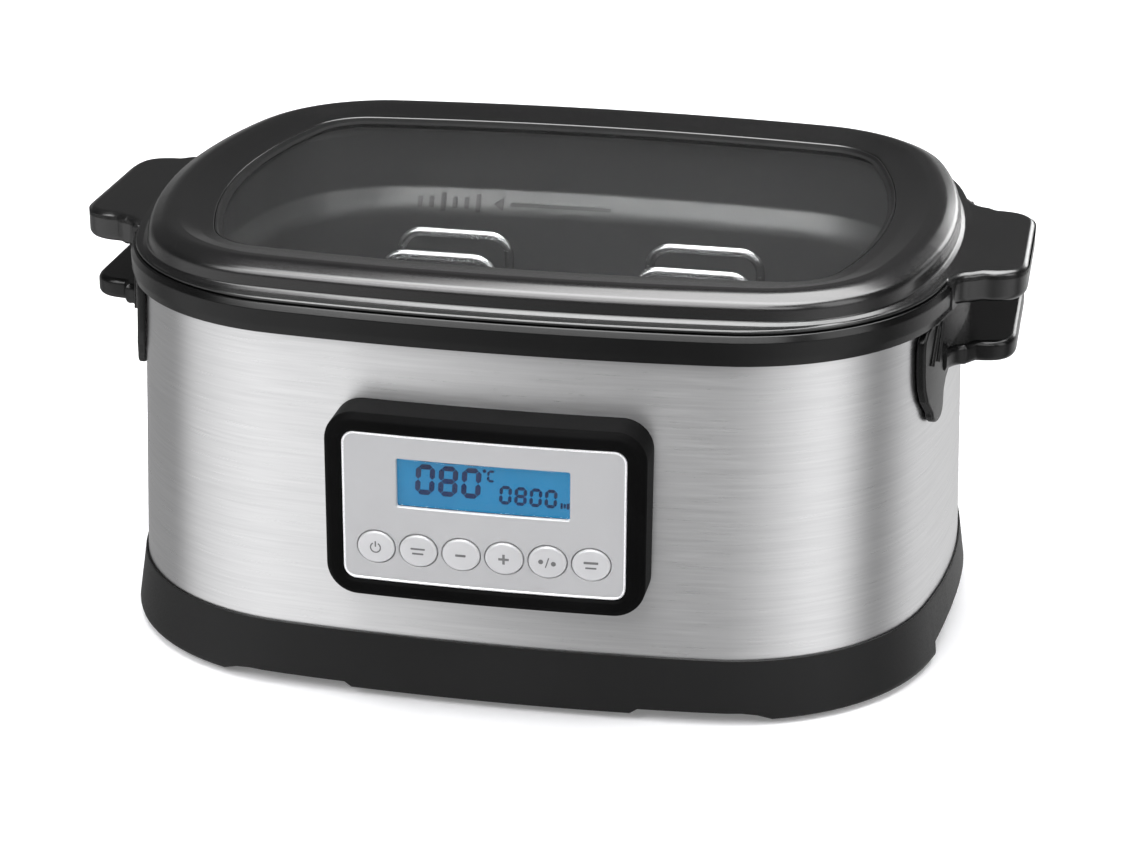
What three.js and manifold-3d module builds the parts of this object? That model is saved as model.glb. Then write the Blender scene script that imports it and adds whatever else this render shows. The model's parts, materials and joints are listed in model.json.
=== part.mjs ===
// Countertop sous-vide water bath: a steel-sided oval cooker with a lift-off glass lid,
// a wire pouch rack and a six-key display panel. Millimetres, +Z up, front faces -Y.
import * as THREE from 'three';
import { mergeVertices } from 'three/addons/utils/BufferGeometryUtils.js';
import Module from 'manifold-3d';

const wasm = await Module();
wasm.setup();

// ---------------------------------------------------------------- driving dimensions
const GAP = 0.3; // clearance kept between pieces that touch

// plan outline at the foot of the steel shell: four bowed sides and four round corners
const HALF_LENGTH = 175;
const HALF_WIDTH = 139;
const LONG_BOW = 7;
const SHORT_BOW = 11;
const CORNER_R = 89;
const ARC_STEPS = { short: 2, corner: 6, long: 3 };

// heights above the table
const SKIRT_BOTTOM = 2;
const SKIRT_TOP = 27;
const COLLAR_BOTTOM = 151;
const COLLAR_TOP = 163.4;
const LID_FLANGE = COLLAR_TOP + GAP;
const LID_TOP = 176.2;

const SHELL_TAPER = 4.4;
const SHEET = 1;
const SHELL_HEM_LOW = 24;
const SHELL_HEM_HIGH = 157.2;

const POT_FLOOR = 42;
const POT_WALL = 1.4;
const PLATE_TOP = POT_FLOOR - POT_WALL - 2 * GAP;
const PLATE_THICK = 4;
const FLOOR_TOP = 7.6;
const FLOOR_THICK = 2;

const GRIP_REACH = 199.5;
const WING_REACH = 196.5;

// control panel, centred on the front; "proud" is measured out from the foot of the shell
const PANEL_Z = 88;
const BEZEL = { halfW: 64.1, halfH: 38.7, radius: 12.5, lip: 7.3, proud: 14.8 };
const FASCIA = { halfW: 56.4, halfH: 31, radius: 5, front: 13.4, back: 11.2 };
const LENS = { halfW: 34.2, halfH: 9.8, radius: 0.8, z: PANEL_Z + 11.2 };
const KEY = { radiusX: 7.6, radiusZ: 6.7, pitch: 17.2, z: PANEL_Z - 16.8, front: 14.5 };
const KEY_NAMES = ['power', 'mode', 'minus', 'plus', 'unit', 'start'];
const BACKBOX = { halfW: 50, halfH: 28, front: 6.6, back: -4, wall: 1.6 };

// wire rack standing in the pot
const RACK_SHIFT = 5.5;
const RACK_WIRE = 2;
const RACK_Z = POT_FLOOR + RACK_WIRE + GAP;
const LOOP = { top: 144.5, halfW: 24, radius: 9, column: 55, row: 16 };

const LID_SCREW_X = 90;
const LID_SCREW_INSET = 20;
const HANDLE_SCREW = { y: 28, z: 130.7 };
const POST = { x: 95, y: 55 };
const PAD = { x: 126, y: 84, radius: 10 };
const GLAND = { x: 95, z: 14.2 };

// ---------------------------------------------------------------- materials
const paint = (color, roughness, metalness = 0) =>
  new THREE.MeshStandardMaterial({ color, roughness, metalness });
const finish = {
  steel: () => paint(0xc4c4c6, 0.32, 1),
  plastic: () => paint(0x1b1b1c, 0.42),
  skirt: () => paint(0x242425, 0.55),
  glass: () => new THREE.MeshStandardMaterial({
    color: 0xdfe6e6, roughness: 0.05, transparent: true, opacity: 0.25,
  }),
  nonstick: () => paint(0x3a3b3d, 0.38, 0.3),
  aluminium: () => paint(0xb9bbbd, 0.35, 1),
  wire: () => paint(0xcfd0d2, 0.18, 1),
  zinc: () => paint(0xa9abad, 0.3, 1),
  silicone: () => paint(0x2e2f31, 0.7),
  rubber: () => paint(0x161616, 0.85),
  fibre: () => paint(0xd8d3c4, 0.95),
  fascia: () => paint(0xc9cacc, 0.4, 0.6),
  key: () => paint(0xdadbdc, 0.35, 0.4),
  display: () => paint(0x2f8fd0, 0.25),
  board: () => paint(0x1f5a33, 0.6),
  component: () => paint(0x20252c, 0.5),
  ceramic: () => paint(0xe4e0d6, 0.6),
};

// ---------------------------------------------------------------- solids
/** A geometry whose signed volume is positive, with shared vertices merged. */
function closedGeometry(positions, index) {
  let geometry = new THREE.BufferGeometry();
  geometry.setAttribute('position', new THREE.Float32BufferAttribute(positions, 3));
  geometry.setIndex(index);
  geometry = mergeVertices(geometry, 1e-4);
  const xyz = geometry.attributes.position;
  const corner = [0, 1, 2].map(() => new THREE.Vector3());
  const kept = [];
  let volume = 0;
  for (let i = 0; i < geometry.index.count; i += 3) {
    const ids = [0, 1, 2].map((k) => geometry.index.getX(i + k));
    if (ids[0] === ids[1] || ids[1] === ids[2] || ids[2] === ids[0]) continue;
    corner.forEach((point, k) => point.fromBufferAttribute(xyz, ids[k]));
    volume += corner[0].dot(corner[1].clone().cross(corner[2]));
    kept.push(ids);
  }
  geometry.setIndex(kept.flatMap(([a, b, c]) => (volume > 0 ? [a, b, c] : [a, c, b])));
  geometry.computeVertexNormals();
  return geometry;
}

/** Skins equal-length loops of points: a closed tube of loops, or a stack capped at both ends. */
function skinLoops(loops, isRing) {
  const count = loops[0].length;
  const positions = loops.flat().flatMap((p) => [p.x, p.y, p.z]);
  const index = [];
  const bands = isRing ? loops.length : loops.length - 1;
  for (let band = 0; band < bands; band += 1) {
    const low = band * count;
    const high = ((band + 1) % loops.length) * count;
    for (let i = 0; i < count; i += 1) {
      const next = (i + 1) % count;
      index.push(low + i, low + next, high + next, low + i, high + next, high + i);
    }
  }
  if (!isRing) {
    const last = (loops.length - 1) * count;
    for (let i = 1; i < count - 1; i += 1) {
      index.push(0, i + 1, i, last, last + i, last + i + 1);
    }
  }
  return closedGeometry(positions, index);
}

function toSolid(geometry) {
  const bare = geometry.clone();
  bare.deleteAttribute('normal');
  bare.deleteAttribute('uv');
  const merged = mergeVertices(bare, 1e-4);
  return new wasm.Manifold(new wasm.Mesh({
    numProp: 3,
    vertProperties: new Float32Array(merged.attributes.position.array),
    triVerts: new Uint32Array(merged.index.array),
  }));
}

function fromSolid(solid) {
  const mesh = solid.getMesh();
  return closedGeometry(Array.from(mesh.vertProperties), Array.from(mesh.triVerts));
}

const fold = (geometry, others, action) =>
  fromSolid(others.reduce((solid, other) => solid[action](toSolid(other)), toSolid(geometry)));
const cut = (geometry, ...tools) => fold(geometry, tools, 'subtract');
const join = (geometry, ...others) => fold(geometry, others, 'add');
const common = (geometry, ...others) => fold(geometry, others, 'intersect');

const box = (x, y, z, w, d, h) => new THREE.BoxGeometry(w, d, h).translate(x, y, z);

/** A turned piece: [radius, height] points that close on the axis or on themselves. */
function turned(profile, segments = 16) {
  const points = profile.map(([r, h]) => new THREE.Vector2(r, h));
  const lathe = new THREE.LatheGeometry(points, segments).rotateX(Math.PI / 2);
  return closedGeometry(Array.from(lathe.attributes.position.array), Array.from(lathe.index.array));
}

/** A round rod from height z0 to z1. */
const rod = (radius, z0, z1, segments = 16) =>
  turned([[0, z0], [radius, z0], [radius, z1], [0, z1]], segments);

/** Turns a piece built along +Z so that it lies along +X or +Y. */
const alongX = (geometry) => geometry.rotateY(Math.PI / 2);
const alongY = (geometry) => geometry.rotateX(-Math.PI / 2);

// ---------------------------------------------------------------- plan outline
const arcRadius = (halfChord, bow) => (halfChord ** 2 + bow ** 2) / (2 * bow);
const LONG_R = arcRadius(HALF_LENGTH - 0.7 * CORNER_R, LONG_BOW);
const SHORT_R = arcRadius(HALF_WIDTH - 0.7 * CORNER_R, SHORT_BOW);
const LONG_CENTRE = new THREE.Vector2(0, HALF_WIDTH - LONG_R);
const BODY_PLAN = quarterPlan(CORNER_R, 0);
const LID_PLAN = quarterPlan(CORNER_R - 14, 1.5);
const WINDOW_PLAN = quarterPlan(CORNER_R - 25, 3);

/** One quarter of a plan: a corner arc tangent to a short side and to a long side. */
function quarterPlan(cornerR, stretch) {
  const short = new THREE.Vector2(HALF_LENGTH + stretch - SHORT_R, 0);
  const reachLong = LONG_R - cornerR;
  const reachShort = SHORT_R - cornerR;
  const between = short.clone().sub(LONG_CENTRE);
  const span = between.length();
  const along = (span ** 2 + reachLong ** 2 - reachShort ** 2) / (2 * span);
  const across = Math.sqrt(reachLong ** 2 - along ** 2);
  between.normalize();
  const corner = LONG_CENTRE.clone()
    .addScaledVector(between, along)
    .addScaledVector(new THREE.Vector2(between.y, -between.x), across);
  const shortAngle = corner.clone().sub(short).angle();
  const longAngle = corner.clone().sub(LONG_CENTRE).angle();
  return { cornerR, short, corner, shortAngle, longAngle };
}

function arcPoints(centre, radius, from, to, steps) {
  return Array.from({ length: steps }, (_, i) => {
    const angle = from + ((to - from) * i) / steps;
    return new THREE.Vector2(Math.cos(angle), Math.sin(angle)).multiplyScalar(radius).add(centre);
  });
}

/** A plan outline moved outwards by offset, anticlockwise, at height z. */
function planLoop(offset, z, plan = BODY_PLAN) {
  const { cornerR, short, corner, shortAngle, longAngle } = plan;
  const quarter = [
    ...arcPoints(short, SHORT_R + offset, 0, shortAngle, ARC_STEPS.short),
    ...arcPoints(corner, cornerR + offset, shortAngle, longAngle, ARC_STEPS.corner),
    ...arcPoints(LONG_CENTRE, LONG_R + offset, longAngle, Math.PI / 2, ARC_STEPS.long),
    new THREE.Vector2(0, HALF_WIDTH + offset),
  ];
  const forward = quarter.slice(0, -1);
  const backward = quarter.slice(1).reverse();
  const turn = (points, sx, sy) => points.map((p) => new THREE.Vector3(sx * p.x, sy * p.y, z));
  return [
    ...turn(forward, 1, 1), ...turn(backward, -1, 1),
    ...turn(forward, -1, -1), ...turn(backward, 1, -1),
  ];
}

const planLoops = (profile) => profile.map(([e, z, plan]) => planLoop(e, z, plan));
const planRing = (profile) => skinLoops(planLoops(profile), true);
const planStack = (profile) => skinLoops(planLoops(profile), false);

/** Outward offset of the tapered steel shell's outer face at height z. */
const shellOffset = (z) => (-SHELL_TAPER * (z - SKIRT_TOP)) / (COLLAR_BOTTOM - SKIRT_TOP);

/** A solid that fills the steel shell, grown by clearance, for trimming what bolts to it. */
const shellBlock = (clearance) =>
  planStack([[shellOffset(0) + clearance, 0], [shellOffset(200) + clearance, 200]]);

/** X of the outline's short side, and Y of its long side, at an outward offset. */
const sideX = (offset, y) => BODY_PLAN.short.x + Math.sqrt((SHORT_R + offset) ** 2 - y ** 2);
const frontDrop = (x) => LONG_R - Math.sqrt(LONG_R ** 2 - x ** 2);
const longY = (offset, x) => HALF_WIDTH + offset - frontDrop(x);

// ---------------------------------------------------------------- base
function baseTray() {
  const ring = planRing([
    [0.4, SKIRT_TOP], [1.1, SKIRT_TOP], [2.7, 16], [4.6, 3], [4.2, SKIRT_BOTTOM],
    [1.9, SKIRT_BOTTOM], [-0.5, 20.4], [-9, 20.4], [-9, 23.7], [0.4, 23.7],
  ]);
  const glandHole = alongY(rod(5.2, 120, 160, 12)).translate(GLAND.x, 0, GLAND.z);
  return cut(ring, longSideRecess(), shortSideRecess(), glandHole);
}

/** Stepped relief under the long sides: the skirt stands on four lobes at its corners. */
function longSideRecess() {
  const middle = SKIRT_BOTTOM + 1;
  const top = SKIRT_BOTTOM + 3;
  const half = [[57, middle], [60, top], [104.5, top], [112, SKIRT_BOTTOM], [117, 0]];
  const shape = new THREE.Shape();
  shape.moveTo(-117, 0);
  [...half].reverse().slice(1).forEach(([x, z]) => shape.lineTo(-x, z));
  half.forEach(([x, z]) => shape.lineTo(x, z));
  const prism = new THREE.ExtrudeGeometry(shape, { depth: 400, bevelEnabled: false });
  return prism.rotateX(Math.PI / 2).translate(0, 200, 0);
}

/** Low arch under the short sides, where fingers reach in to lift the appliance. */
function shortSideRecess() {
  const shape = new THREE.Shape();
  shape.moveTo(-60, 0);
  shape.lineTo(-60, 8);
  shape.quadraticCurveTo(-11, 17, 38, 8);
  shape.lineTo(38, 0);
  const prism = new THREE.ExtrudeGeometry(shape, {
    depth: 400, bevelEnabled: false, curveSegments: 6,
  });
  return prism.rotateX(Math.PI / 2).rotateZ(Math.PI / 2).translate(-200, 0, 0);
}

function bottomPlate() {
  const low = FLOOR_TOP - FLOOR_THICK;
  const plate = planStack([[0.75, low], [0.75, FLOOR_TOP]]);
  const holes = [];
  for (const sx of [-1, 1]) {
    for (const sy of [-1, 1]) {
      holes.push(rod(2, 0, 20, 10).translate(sx * POST.x, sy * POST.y, 0));
      holes.push(rod(3.6, 0, 20, 10).translate(sx * PAD.x, sy * PAD.y, 0));
    }
    for (let i = -1; i <= 1; i += 1) holes.push(box(sx * 62, i * 14, low, 34, 5, 10));
  }
  return cut(plate, ...holes);
}

const footPad = () => turned([
  [0, 0], [PAD.radius - 1, 0], [PAD.radius, 1], [PAD.radius, 5.3], [3.2, 5.3],
  [3.2, 7.9], [4.3, 8.1], [2.6, 11], [0, 11],
], 12);

const supportPost = () => turned([
  [0, 20], [1.9, 20], [1.9, FLOOR_TOP + GAP], [4.5, FLOOR_TOP + GAP],
  [4.5, PLATE_TOP - PLATE_THICK - GAP], [0, PLATE_TOP - PLATE_THICK - GAP],
], 12);

/** Pan-head screw pointing up: head below z = 0, shank above it. */
const screw = (headR, headH, shankR, length) => turned([
  [0, -headH], [headR * 0.7, -headH], [headR, -headH * 0.5], [headR, 0],
  [shankR, 0], [shankR, length - shankR], [0, length],
], 10);

function cordGland() {
  const bore = 3.4;
  const neck = 4.8;
  const barb = 5.8;
  const flange = 6.8;
  const inside = longY(-1.6, GLAND.x + flange);
  const outside = longY(4.6, GLAND.x - flange) + GAP;
  return alongY(turned([
    [bore, inside - 3], [barb, inside - 3], [barb, inside], [neck, inside], [neck, outside],
    [flange, outside], [flange - 0.6, outside + 2.2], [bore, outside + 2.2], [bore, inside - 3],
  ], 12)).translate(GLAND.x, 0, GLAND.z);
}

// ---------------------------------------------------------------- body
function outerShell() {
  const low = shellOffset(SHELL_HEM_LOW);
  const high = shellOffset(SHELL_HEM_HIGH);
  const sheet = planRing([
    [low, SHELL_HEM_LOW], [high, SHELL_HEM_HIGH],
    [high - SHEET, SHELL_HEM_HIGH], [low - SHEET, SHELL_HEM_LOW],
  ]);
  const panelHole = box(
    0, -HALF_WIDTH, PANEL_Z, 2 * (BACKBOX.halfW + 0.6), 30, 2 * (BACKBOX.halfH + 0.6),
  );
  const screwHoles = [-1, 1].map((side) =>
    alongX(rod(2.1, -300, 300, 12)).translate(0, side * HANDLE_SCREW.y, HANDLE_SCREW.z));
  return cut(sheet, panelHole, ...screwHoles);
}

const rimCollar = () => planRing([
  [-4.1, COLLAR_BOTTOM], [0.8, COLLAR_BOTTOM], [1.3, 154.5], [1.3, 161.3],
  [-0.2, COLLAR_TOP], [-3.2, COLLAR_TOP], [-3.6, 159.6], [-14, 159.6], [-14, 148],
  [-11.5, 148], [-11.5, 157.6], [-4.1, 157.6],
]);

const potGasket = () => planRing([[-5, 159.9], [-5, 160.8], [-13, 160.8], [-13, 159.9]]);

/** Cooking pot with a sloped shoulder round its wall, just under the fill level. */
const innerPot = () => planStack([
  [-42, POT_FLOOR], [-32.5, POT_FLOOR + 2.6], [-25.6, POT_FLOOR + 9], [-23.2, POT_FLOOR + 20],
  [-22, 122], [-20.6, 128], [-16.8, 132], [-16.2, 160], [-14.9, 162.6],
  [-4, 162.6], [-4, 161.1], [-14.6, 161.1], [-15.2, 131.4], [-19.2, 127], [-20.4, 121.6],
  [-21.6, POT_FLOOR + 20], [-24.4, POT_FLOOR + 7.8], [-31.9, POT_FLOOR - POT_WALL + 2.2],
  [-42, POT_FLOOR - POT_WALL],
]);

const insulationWrap = () => planRing([[-8, 46], [-8.6, 145], [-12.6, 145], [-12, 46]]);

const heatingPlate = () => planStack([
  [-50, PLATE_TOP - PLATE_THICK], [-50, PLATE_TOP - 0.8], [-50.8, PLATE_TOP],
]);

/** Sweeps a round wire along points that lie in a plane with the given normal. */
function sweptWire(points, planeNormal, radius, sides = 6) {
  const loops = points.map((point, i) => {
    const before = points[Math.max(i - 1, 0)];
    const after = points[Math.min(i + 1, points.length - 1)];
    const side = after.clone().sub(before).normalize().cross(planeNormal).normalize();
    return Array.from({ length: sides }, (_, k) => {
      const angle = (2 * Math.PI * (k + 0.5)) / sides;
      return point.clone()
        .addScaledVector(side, radius * Math.cos(angle))
        .addScaledVector(planeNormal, radius * Math.sin(angle));
    });
  });
  return skinLoops(loops, false);
}

function heaterElement() {
  const route = new THREE.Path();
  const radius = 34;
  route.moveTo(-8, -58);
  route.lineTo(-54, -58);
  route.absarc(-54, -58 + radius, radius, -Math.PI / 2, -Math.PI, true);
  route.absarc(-54, 58 - radius, radius, Math.PI, Math.PI / 2, true);
  route.absarc(54, 58 - radius, radius, Math.PI / 2, 0, true);
  route.absarc(54, -58 + radius, radius, 0, -Math.PI / 2, true);
  route.lineTo(8, -58);
  const z = PLATE_TOP - PLATE_THICK - GAP - 3.3;
  const points = route.getPoints(3).map((p) => new THREE.Vector3(p.x, p.y, z));
  const distinct = points.filter((p, i) => i === 0 || p.distanceTo(points[i - 1]) > 0.01);
  return sweptWire(distinct, new THREE.Vector3(0, 0, 1), 3.3);
}

const temperatureSensor = () => turned([
  [0, 24], [2, 24], [2, 29], [7, 29], [7, PLATE_TOP - PLATE_THICK - GAP],
  [0, PLATE_TOP - PLATE_THICK - GAP],
], 12);

const thermalFuse = () =>
  alongX(rod(2.4, -9, 9, 10)).translate(36, 0, PLATE_TOP - PLATE_THICK - GAP - 2.4);

/** Populated mains board: relay, transformer and terminal block soldered to one board. */
function powerBoard() {
  const top = 11.6;
  const block = (x, y, w, d, h) => box(x, y, top + h / 2 - 0.2, w, d, h);
  return join(
    box(-52, 0, top - 0.8, 84, 56, 1.6),
    block(-76, 12, 20, 16, 14),
    block(-48, 6, 26, 24, 14),
    block(-30, -20, 22, 10, 9),
    ...[-88, -16].flatMap((x) => [-23, 23].map((y) =>
      rod(2.6, FLOOR_TOP + GAP, top - 0.8, 10).translate(x, y, 0))),
  );
}

// ---------------------------------------------------------------- side handles
/** Outline of a wing seen from above, reaching out along +X from inside the wall. */
function wingShape(reach, halfRoot, halfTip, radius) {
  const shape = new THREE.Shape();
  shape.moveTo(160, -halfRoot - 9);
  shape.lineTo(169.4, -halfRoot - 9);
  shape.quadraticCurveTo(172.4, -halfRoot, 181, -halfRoot);
  shape.lineTo(reach - radius, -halfTip);
  shape.quadraticCurveTo(reach, -halfTip, reach, -halfTip + radius);
  shape.lineTo(reach, halfTip - radius);
  shape.quadraticCurveTo(reach, halfTip, reach - radius, halfTip);
  shape.lineTo(181, halfRoot);
  shape.quadraticCurveTo(172.4, halfRoot, 169.4, halfRoot + 9);
  shape.lineTo(160, halfRoot + 9);
  return shape;
}

/** A slab of that outline from z0 to z1 with its edges rounded by bevel. */
function wing(shape, z0, z1, bevel) {
  const slab = new THREE.ExtrudeGeometry(shape, {
    depth: z1 - z0 - 2 * bevel,
    bevelThickness: bevel,
    bevelSize: bevel,
    bevelOffset: -bevel,
    bevelSegments: 1,
    curveSegments: 3,
  });
  return slab.translate(0, 0, z0 + bevel);
}

/** Escutcheon on the shell's side: a plate with two rounded legs and an arch between them. */
function escutcheonShape() {
  const shape = new THREE.Shape();
  const top = COLLAR_BOTTOM - GAP;
  shape.moveTo(-72, top);
  shape.quadraticCurveTo(-78, 149, -78.5, 142);
  shape.lineTo(-78.5, 131);
  shape.quadraticCurveTo(-77.5, 121, -70.5, 113);
  shape.absarc(-63.5, 114.5, 7, 1.07 * Math.PI, 2 * Math.PI, false);
  shape.quadraticCurveTo(-55, 124.5, -42, 126.6);
  shape.lineTo(42, 126.6);
  shape.quadraticCurveTo(55, 124.5, 56.5, 114.5);
  shape.absarc(63.5, 114.5, 7, Math.PI, 1.93 * Math.PI, false);
  shape.quadraticCurveTo(77.5, 121, 78.5, 131);
  shape.lineTo(78.5, 142);
  shape.quadraticCurveTo(78, 149, 72, top);
  return shape;
}

function bodyHandle() {
  const low = 100;
  const high = 160;
  const proud = 3.8;
  const skin = planRing([
    [shellOffset(low) + GAP, low], [shellOffset(low) + proud, low],
    [shellOffset(high) + proud, high], [shellOffset(high) + GAP, high],
  ]);
  const plate = new THREE.ExtrudeGeometry(escutcheonShape(), {
    depth: 80, bevelEnabled: false, curveSegments: 4,
  });
  plate.rotateX(Math.PI / 2).rotateZ(Math.PI / 2).translate(120, 0, 0);
  const grip = cut(wing(wingShape(WING_REACH, 47, 42, 15), 126.2, 135, 1.5), shellBlock(GAP));
  const depth = sideX(shellOffset(HANDLE_SCREW.z), HANDLE_SCREW.y) + 14;
  const holes = [-1, 1].map((side) =>
    alongX(rod(1.8, 100, depth, 12)).translate(0, side * HANDLE_SCREW.y, HANDLE_SCREW.z));
  return cut(join(common(plate, skin), grip), ...holes);
}

// ---------------------------------------------------------------- control panel
/** Closed loop of a rounded rectangle on the bowed front, at a distance proud of the shell. */
function panelLoop(halfW, halfH, radius, proud) {
  const outline = new THREE.Path();
  const r = Math.max(radius, 0.01);
  const corner = (sx, sz, from) => outline.absarc(
    sx * (halfW - r), sz * (halfH - r), r, from, from + Math.PI / 2, false,
  );
  const steps = 5;
  corner(1, 1, 0);
  for (let i = 1; i < steps; i += 1) {
    outline.lineTo((halfW - r) * (1 - (2 * i) / steps), halfH);
  }
  corner(-1, 1, Math.PI / 2);
  corner(-1, -1, Math.PI);
  for (let i = 1; i < steps; i += 1) {
    outline.lineTo((r - halfW) * (1 - (2 * i) / steps), -halfH);
  }
  corner(1, -1, 1.5 * Math.PI);
  return outline.getPoints(3).map((p) =>
    new THREE.Vector3(p.x, -HALF_WIDTH - proud + frontDrop(p.x), PANEL_Z + p.y));
}

function panelBezel() {
  const ledge = BEZEL.lip + 3.5;
  const profile = [
    [0, -6], [0, 12.6], [2.2, BEZEL.proud], [BEZEL.lip - 1.1, BEZEL.proud],
    [BEZEL.lip, 14], [BEZEL.lip, 10.9], [ledge, 10.9], [ledge, 8.9], [2.6, 8.9], [2.6, -6],
  ];
  const loops = profile.map(([inset, proud]) => panelLoop(
    BEZEL.halfW - inset, BEZEL.halfH - inset,
    Math.max(BEZEL.radius - inset, FASCIA.radius), proud,
  ));
  return cut(skinLoops(loops, true), shellBlock(GAP));
}

function roundedRect(halfW, halfH, r) {
  const shape = new THREE.Shape();
  const corner = (sx, sz, from) => shape.absarc(
    sx * (halfW - r), sz * (halfH - r), r, from, from + Math.PI / 2, false,
  );
  corner(1, 1, 0);
  corner(-1, 1, Math.PI / 2);
  corner(-1, -1, Math.PI);
  corner(1, -1, 1.5 * Math.PI);
  return shape;
}

/** Cuts a flat shape out of a curved skin between two distances proud of the shell. */
function panelSkin(shape, z, back, front) {
  const prism = new THREE.ExtrudeGeometry(shape, {
    depth: 60, bevelEnabled: false, curveSegments: 5,
  });
  prism.rotateX(Math.PI / 2).translate(0, -HALF_WIDTH + 20, z);
  const skin = planRing([[back, 20], [front, 20], [front, 160], [back, 160]]);
  return common(prism, skin);
}

const keyX = (i) => (i - (KEY_NAMES.length - 1) / 2) * KEY.pitch;

function panelFascia() {
  const shape = roundedRect(FASCIA.halfW, FASCIA.halfH, FASCIA.radius);
  const lens = roundedRect(LENS.halfW + 0.3, LENS.halfH + 0.3, LENS.radius);
  const lift = LENS.z - PANEL_Z;
  shape.holes.push(new THREE.Path(lens.getPoints(3).map((p) => new THREE.Vector2(p.x, p.y + lift))));
  KEY_NAMES.forEach((_, i) => {
    const hole = new THREE.Path();
    hole.absellipse(
      keyX(i), KEY.z - PANEL_Z, KEY.radiusX + 0.4, KEY.radiusZ + 0.4, 0, 2 * Math.PI, true,
    );
    shape.holes.push(hole);
  });
  return panelSkin(shape, PANEL_Z, FASCIA.back, FASCIA.front);
}

const displayLens = () =>
  panelSkin(roundedRect(LENS.halfW, LENS.halfH, LENS.radius), LENS.z, 11.4, 12.9);

/** Y of a flat plane that is proud of the foot of the shell at mid-width. */
const proudY = (proud) => -HALF_WIDTH - proud;

function flatPanelBox(halfW, halfH, z, back, front) {
  return box(0, (proudY(back) + proudY(front)) / 2, z, 2 * halfW, front - back, 2 * halfH);
}

function panelBackbox() {
  const outer = flatPanelBox(BACKBOX.halfW, BACKBOX.halfH, PANEL_Z, BACKBOX.back, BACKBOX.front);
  const inner = flatPanelBox(
    BACKBOX.halfW - BACKBOX.wall, BACKBOX.halfH - BACKBOX.wall, PANEL_Z,
    BACKBOX.back + BACKBOX.wall, BACKBOX.front + 5,
  );
  const cableSlot = flatPanelBox(9, 4, PANEL_Z - 18, BACKBOX.back - 2, 0);
  return cut(outer, inner, cableSlot);
}

const lcdModule = () => flatPanelBox(37, 12.5, LENS.z, 3.6, 10);
const controlBoard = () => flatPanelBox(47, 25, PANEL_Z, -0.4, 1.2);

/** Key cap with a retaining flange and a stem, proud distances along its own axis. */
function keyCap(x) {
  const pivot = (FASCIA.front + FASCIA.back) / 2;
  const tilt = Math.asin(x / LONG_R);
  const ellipse = (scaleX, scaleZ, proud) => {
    const curve = new THREE.EllipseCurve(0, 0, KEY.radiusX * scaleX, KEY.radiusZ * scaleZ);
    return curve.getPoints(14).slice(0, -1).map((p) => new THREE.Vector3(p.x, -proud, p.y));
  };
  const cap = skinLoops([
    ellipse(1.09, 1.09, 9.3), ellipse(1.09, 1.09, 10.5), ellipse(1, 1, 10.5),
    ellipse(1, 1, 13.9), ellipse(0.92, 0.91, KEY.front),
  ], false);
  const stem = alongY(rod(1.6, -9.6, -6.4 - frontDrop(x), 8));
  return join(cap, stem)
    .translate(0, pivot, 0)
    .rotateZ(tilt)
    .translate(x, frontDrop(x) - HALF_WIDTH - pivot, KEY.z);
}

/** Tact switch on the control board: square can and round plunger. */
function tactSwitch(x) {
  const can = box(x, proudY(3), KEY.z, 6, 3, 6);
  const plunger = alongY(rod(1.7, -4.9, -4.2, 8)).translate(x, -HALF_WIDTH, KEY.z);
  return join(can, plunger);
}

// ---------------------------------------------------------------- lid
const lidScrewSpots = () => [[1, -1], [-1, -1], [-1, 1], [1, 1]].map(([sx, sy]) =>
  [sx * LID_SCREW_X, sy * longY(-LID_SCREW_INSET, LID_SCREW_X)]);

/** Profile points of the raised part of the lid, and of the rim around its window. */
const wall = (e, z) => [e, z, LID_PLAN];
const rim = (e, z) => [e, z, WINDOW_PLAN];

function lidFrame() {
  const ring = planRing([
    [-0.7, LID_FLANGE], [-0.9, 165.2], wall(-7.4, 166), wall(-8.2, 173),
    wall(-9.3, 175.2), wall(-11.6, LID_TOP), wall(-17, 175.9), rim(-28, 174.6), rim(-37, 172.9),
    rim(-37, 171.3), rim(-32.5, 171.3), rim(-32.5, 168), rim(-30.2, 168), rim(-28.5, 172.2),
    wall(-12, 173.4), wall(-10.4, LID_FLANGE),
  ]);
  const ear = cut(
    wing(wingShape(GRIP_REACH, 46, 43, 17), 152.2, 165.2, 2),
    planStack([[1.8, 140], [1.8, LID_FLANGE]]),
    planStack([[-5, 140], [-5, 200]]),
  );
  const spots = lidScrewSpots();
  const bosses = spots.map(([x, y]) => rod(4, 167.9, 174.5, 12).translate(x, y, 0));
  const pilots = spots.map(([x, y]) => rod(1.8, 160, 173, 12).translate(x, y, 0));
  return cut(join(ring, ear, ear.clone().rotateZ(Math.PI), ...bosses), ...pilots);
}

const lidGlass = () => planStack([rim(-33, 167.9), rim(-33, 170.4), rim(-33.6, 171)]);

function lidRetainer() {
  const ring = planRing([
    wall(-11.3, 166), wall(-11.3, 167.6), rim(-38, 167.6), rim(-36.5, 166),
  ]);
  return cut(ring, ...lidScrewSpots().map(([x, y]) => rod(1.9, 150, 200, 12).translate(x, y, 0)));
}

const lidSeal = () => planRing([
  wall(-11, 165.7), wall(-15.6, 165.7), wall(-13.4, 162.9), wall(-11, 162.9),
]);

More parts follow.
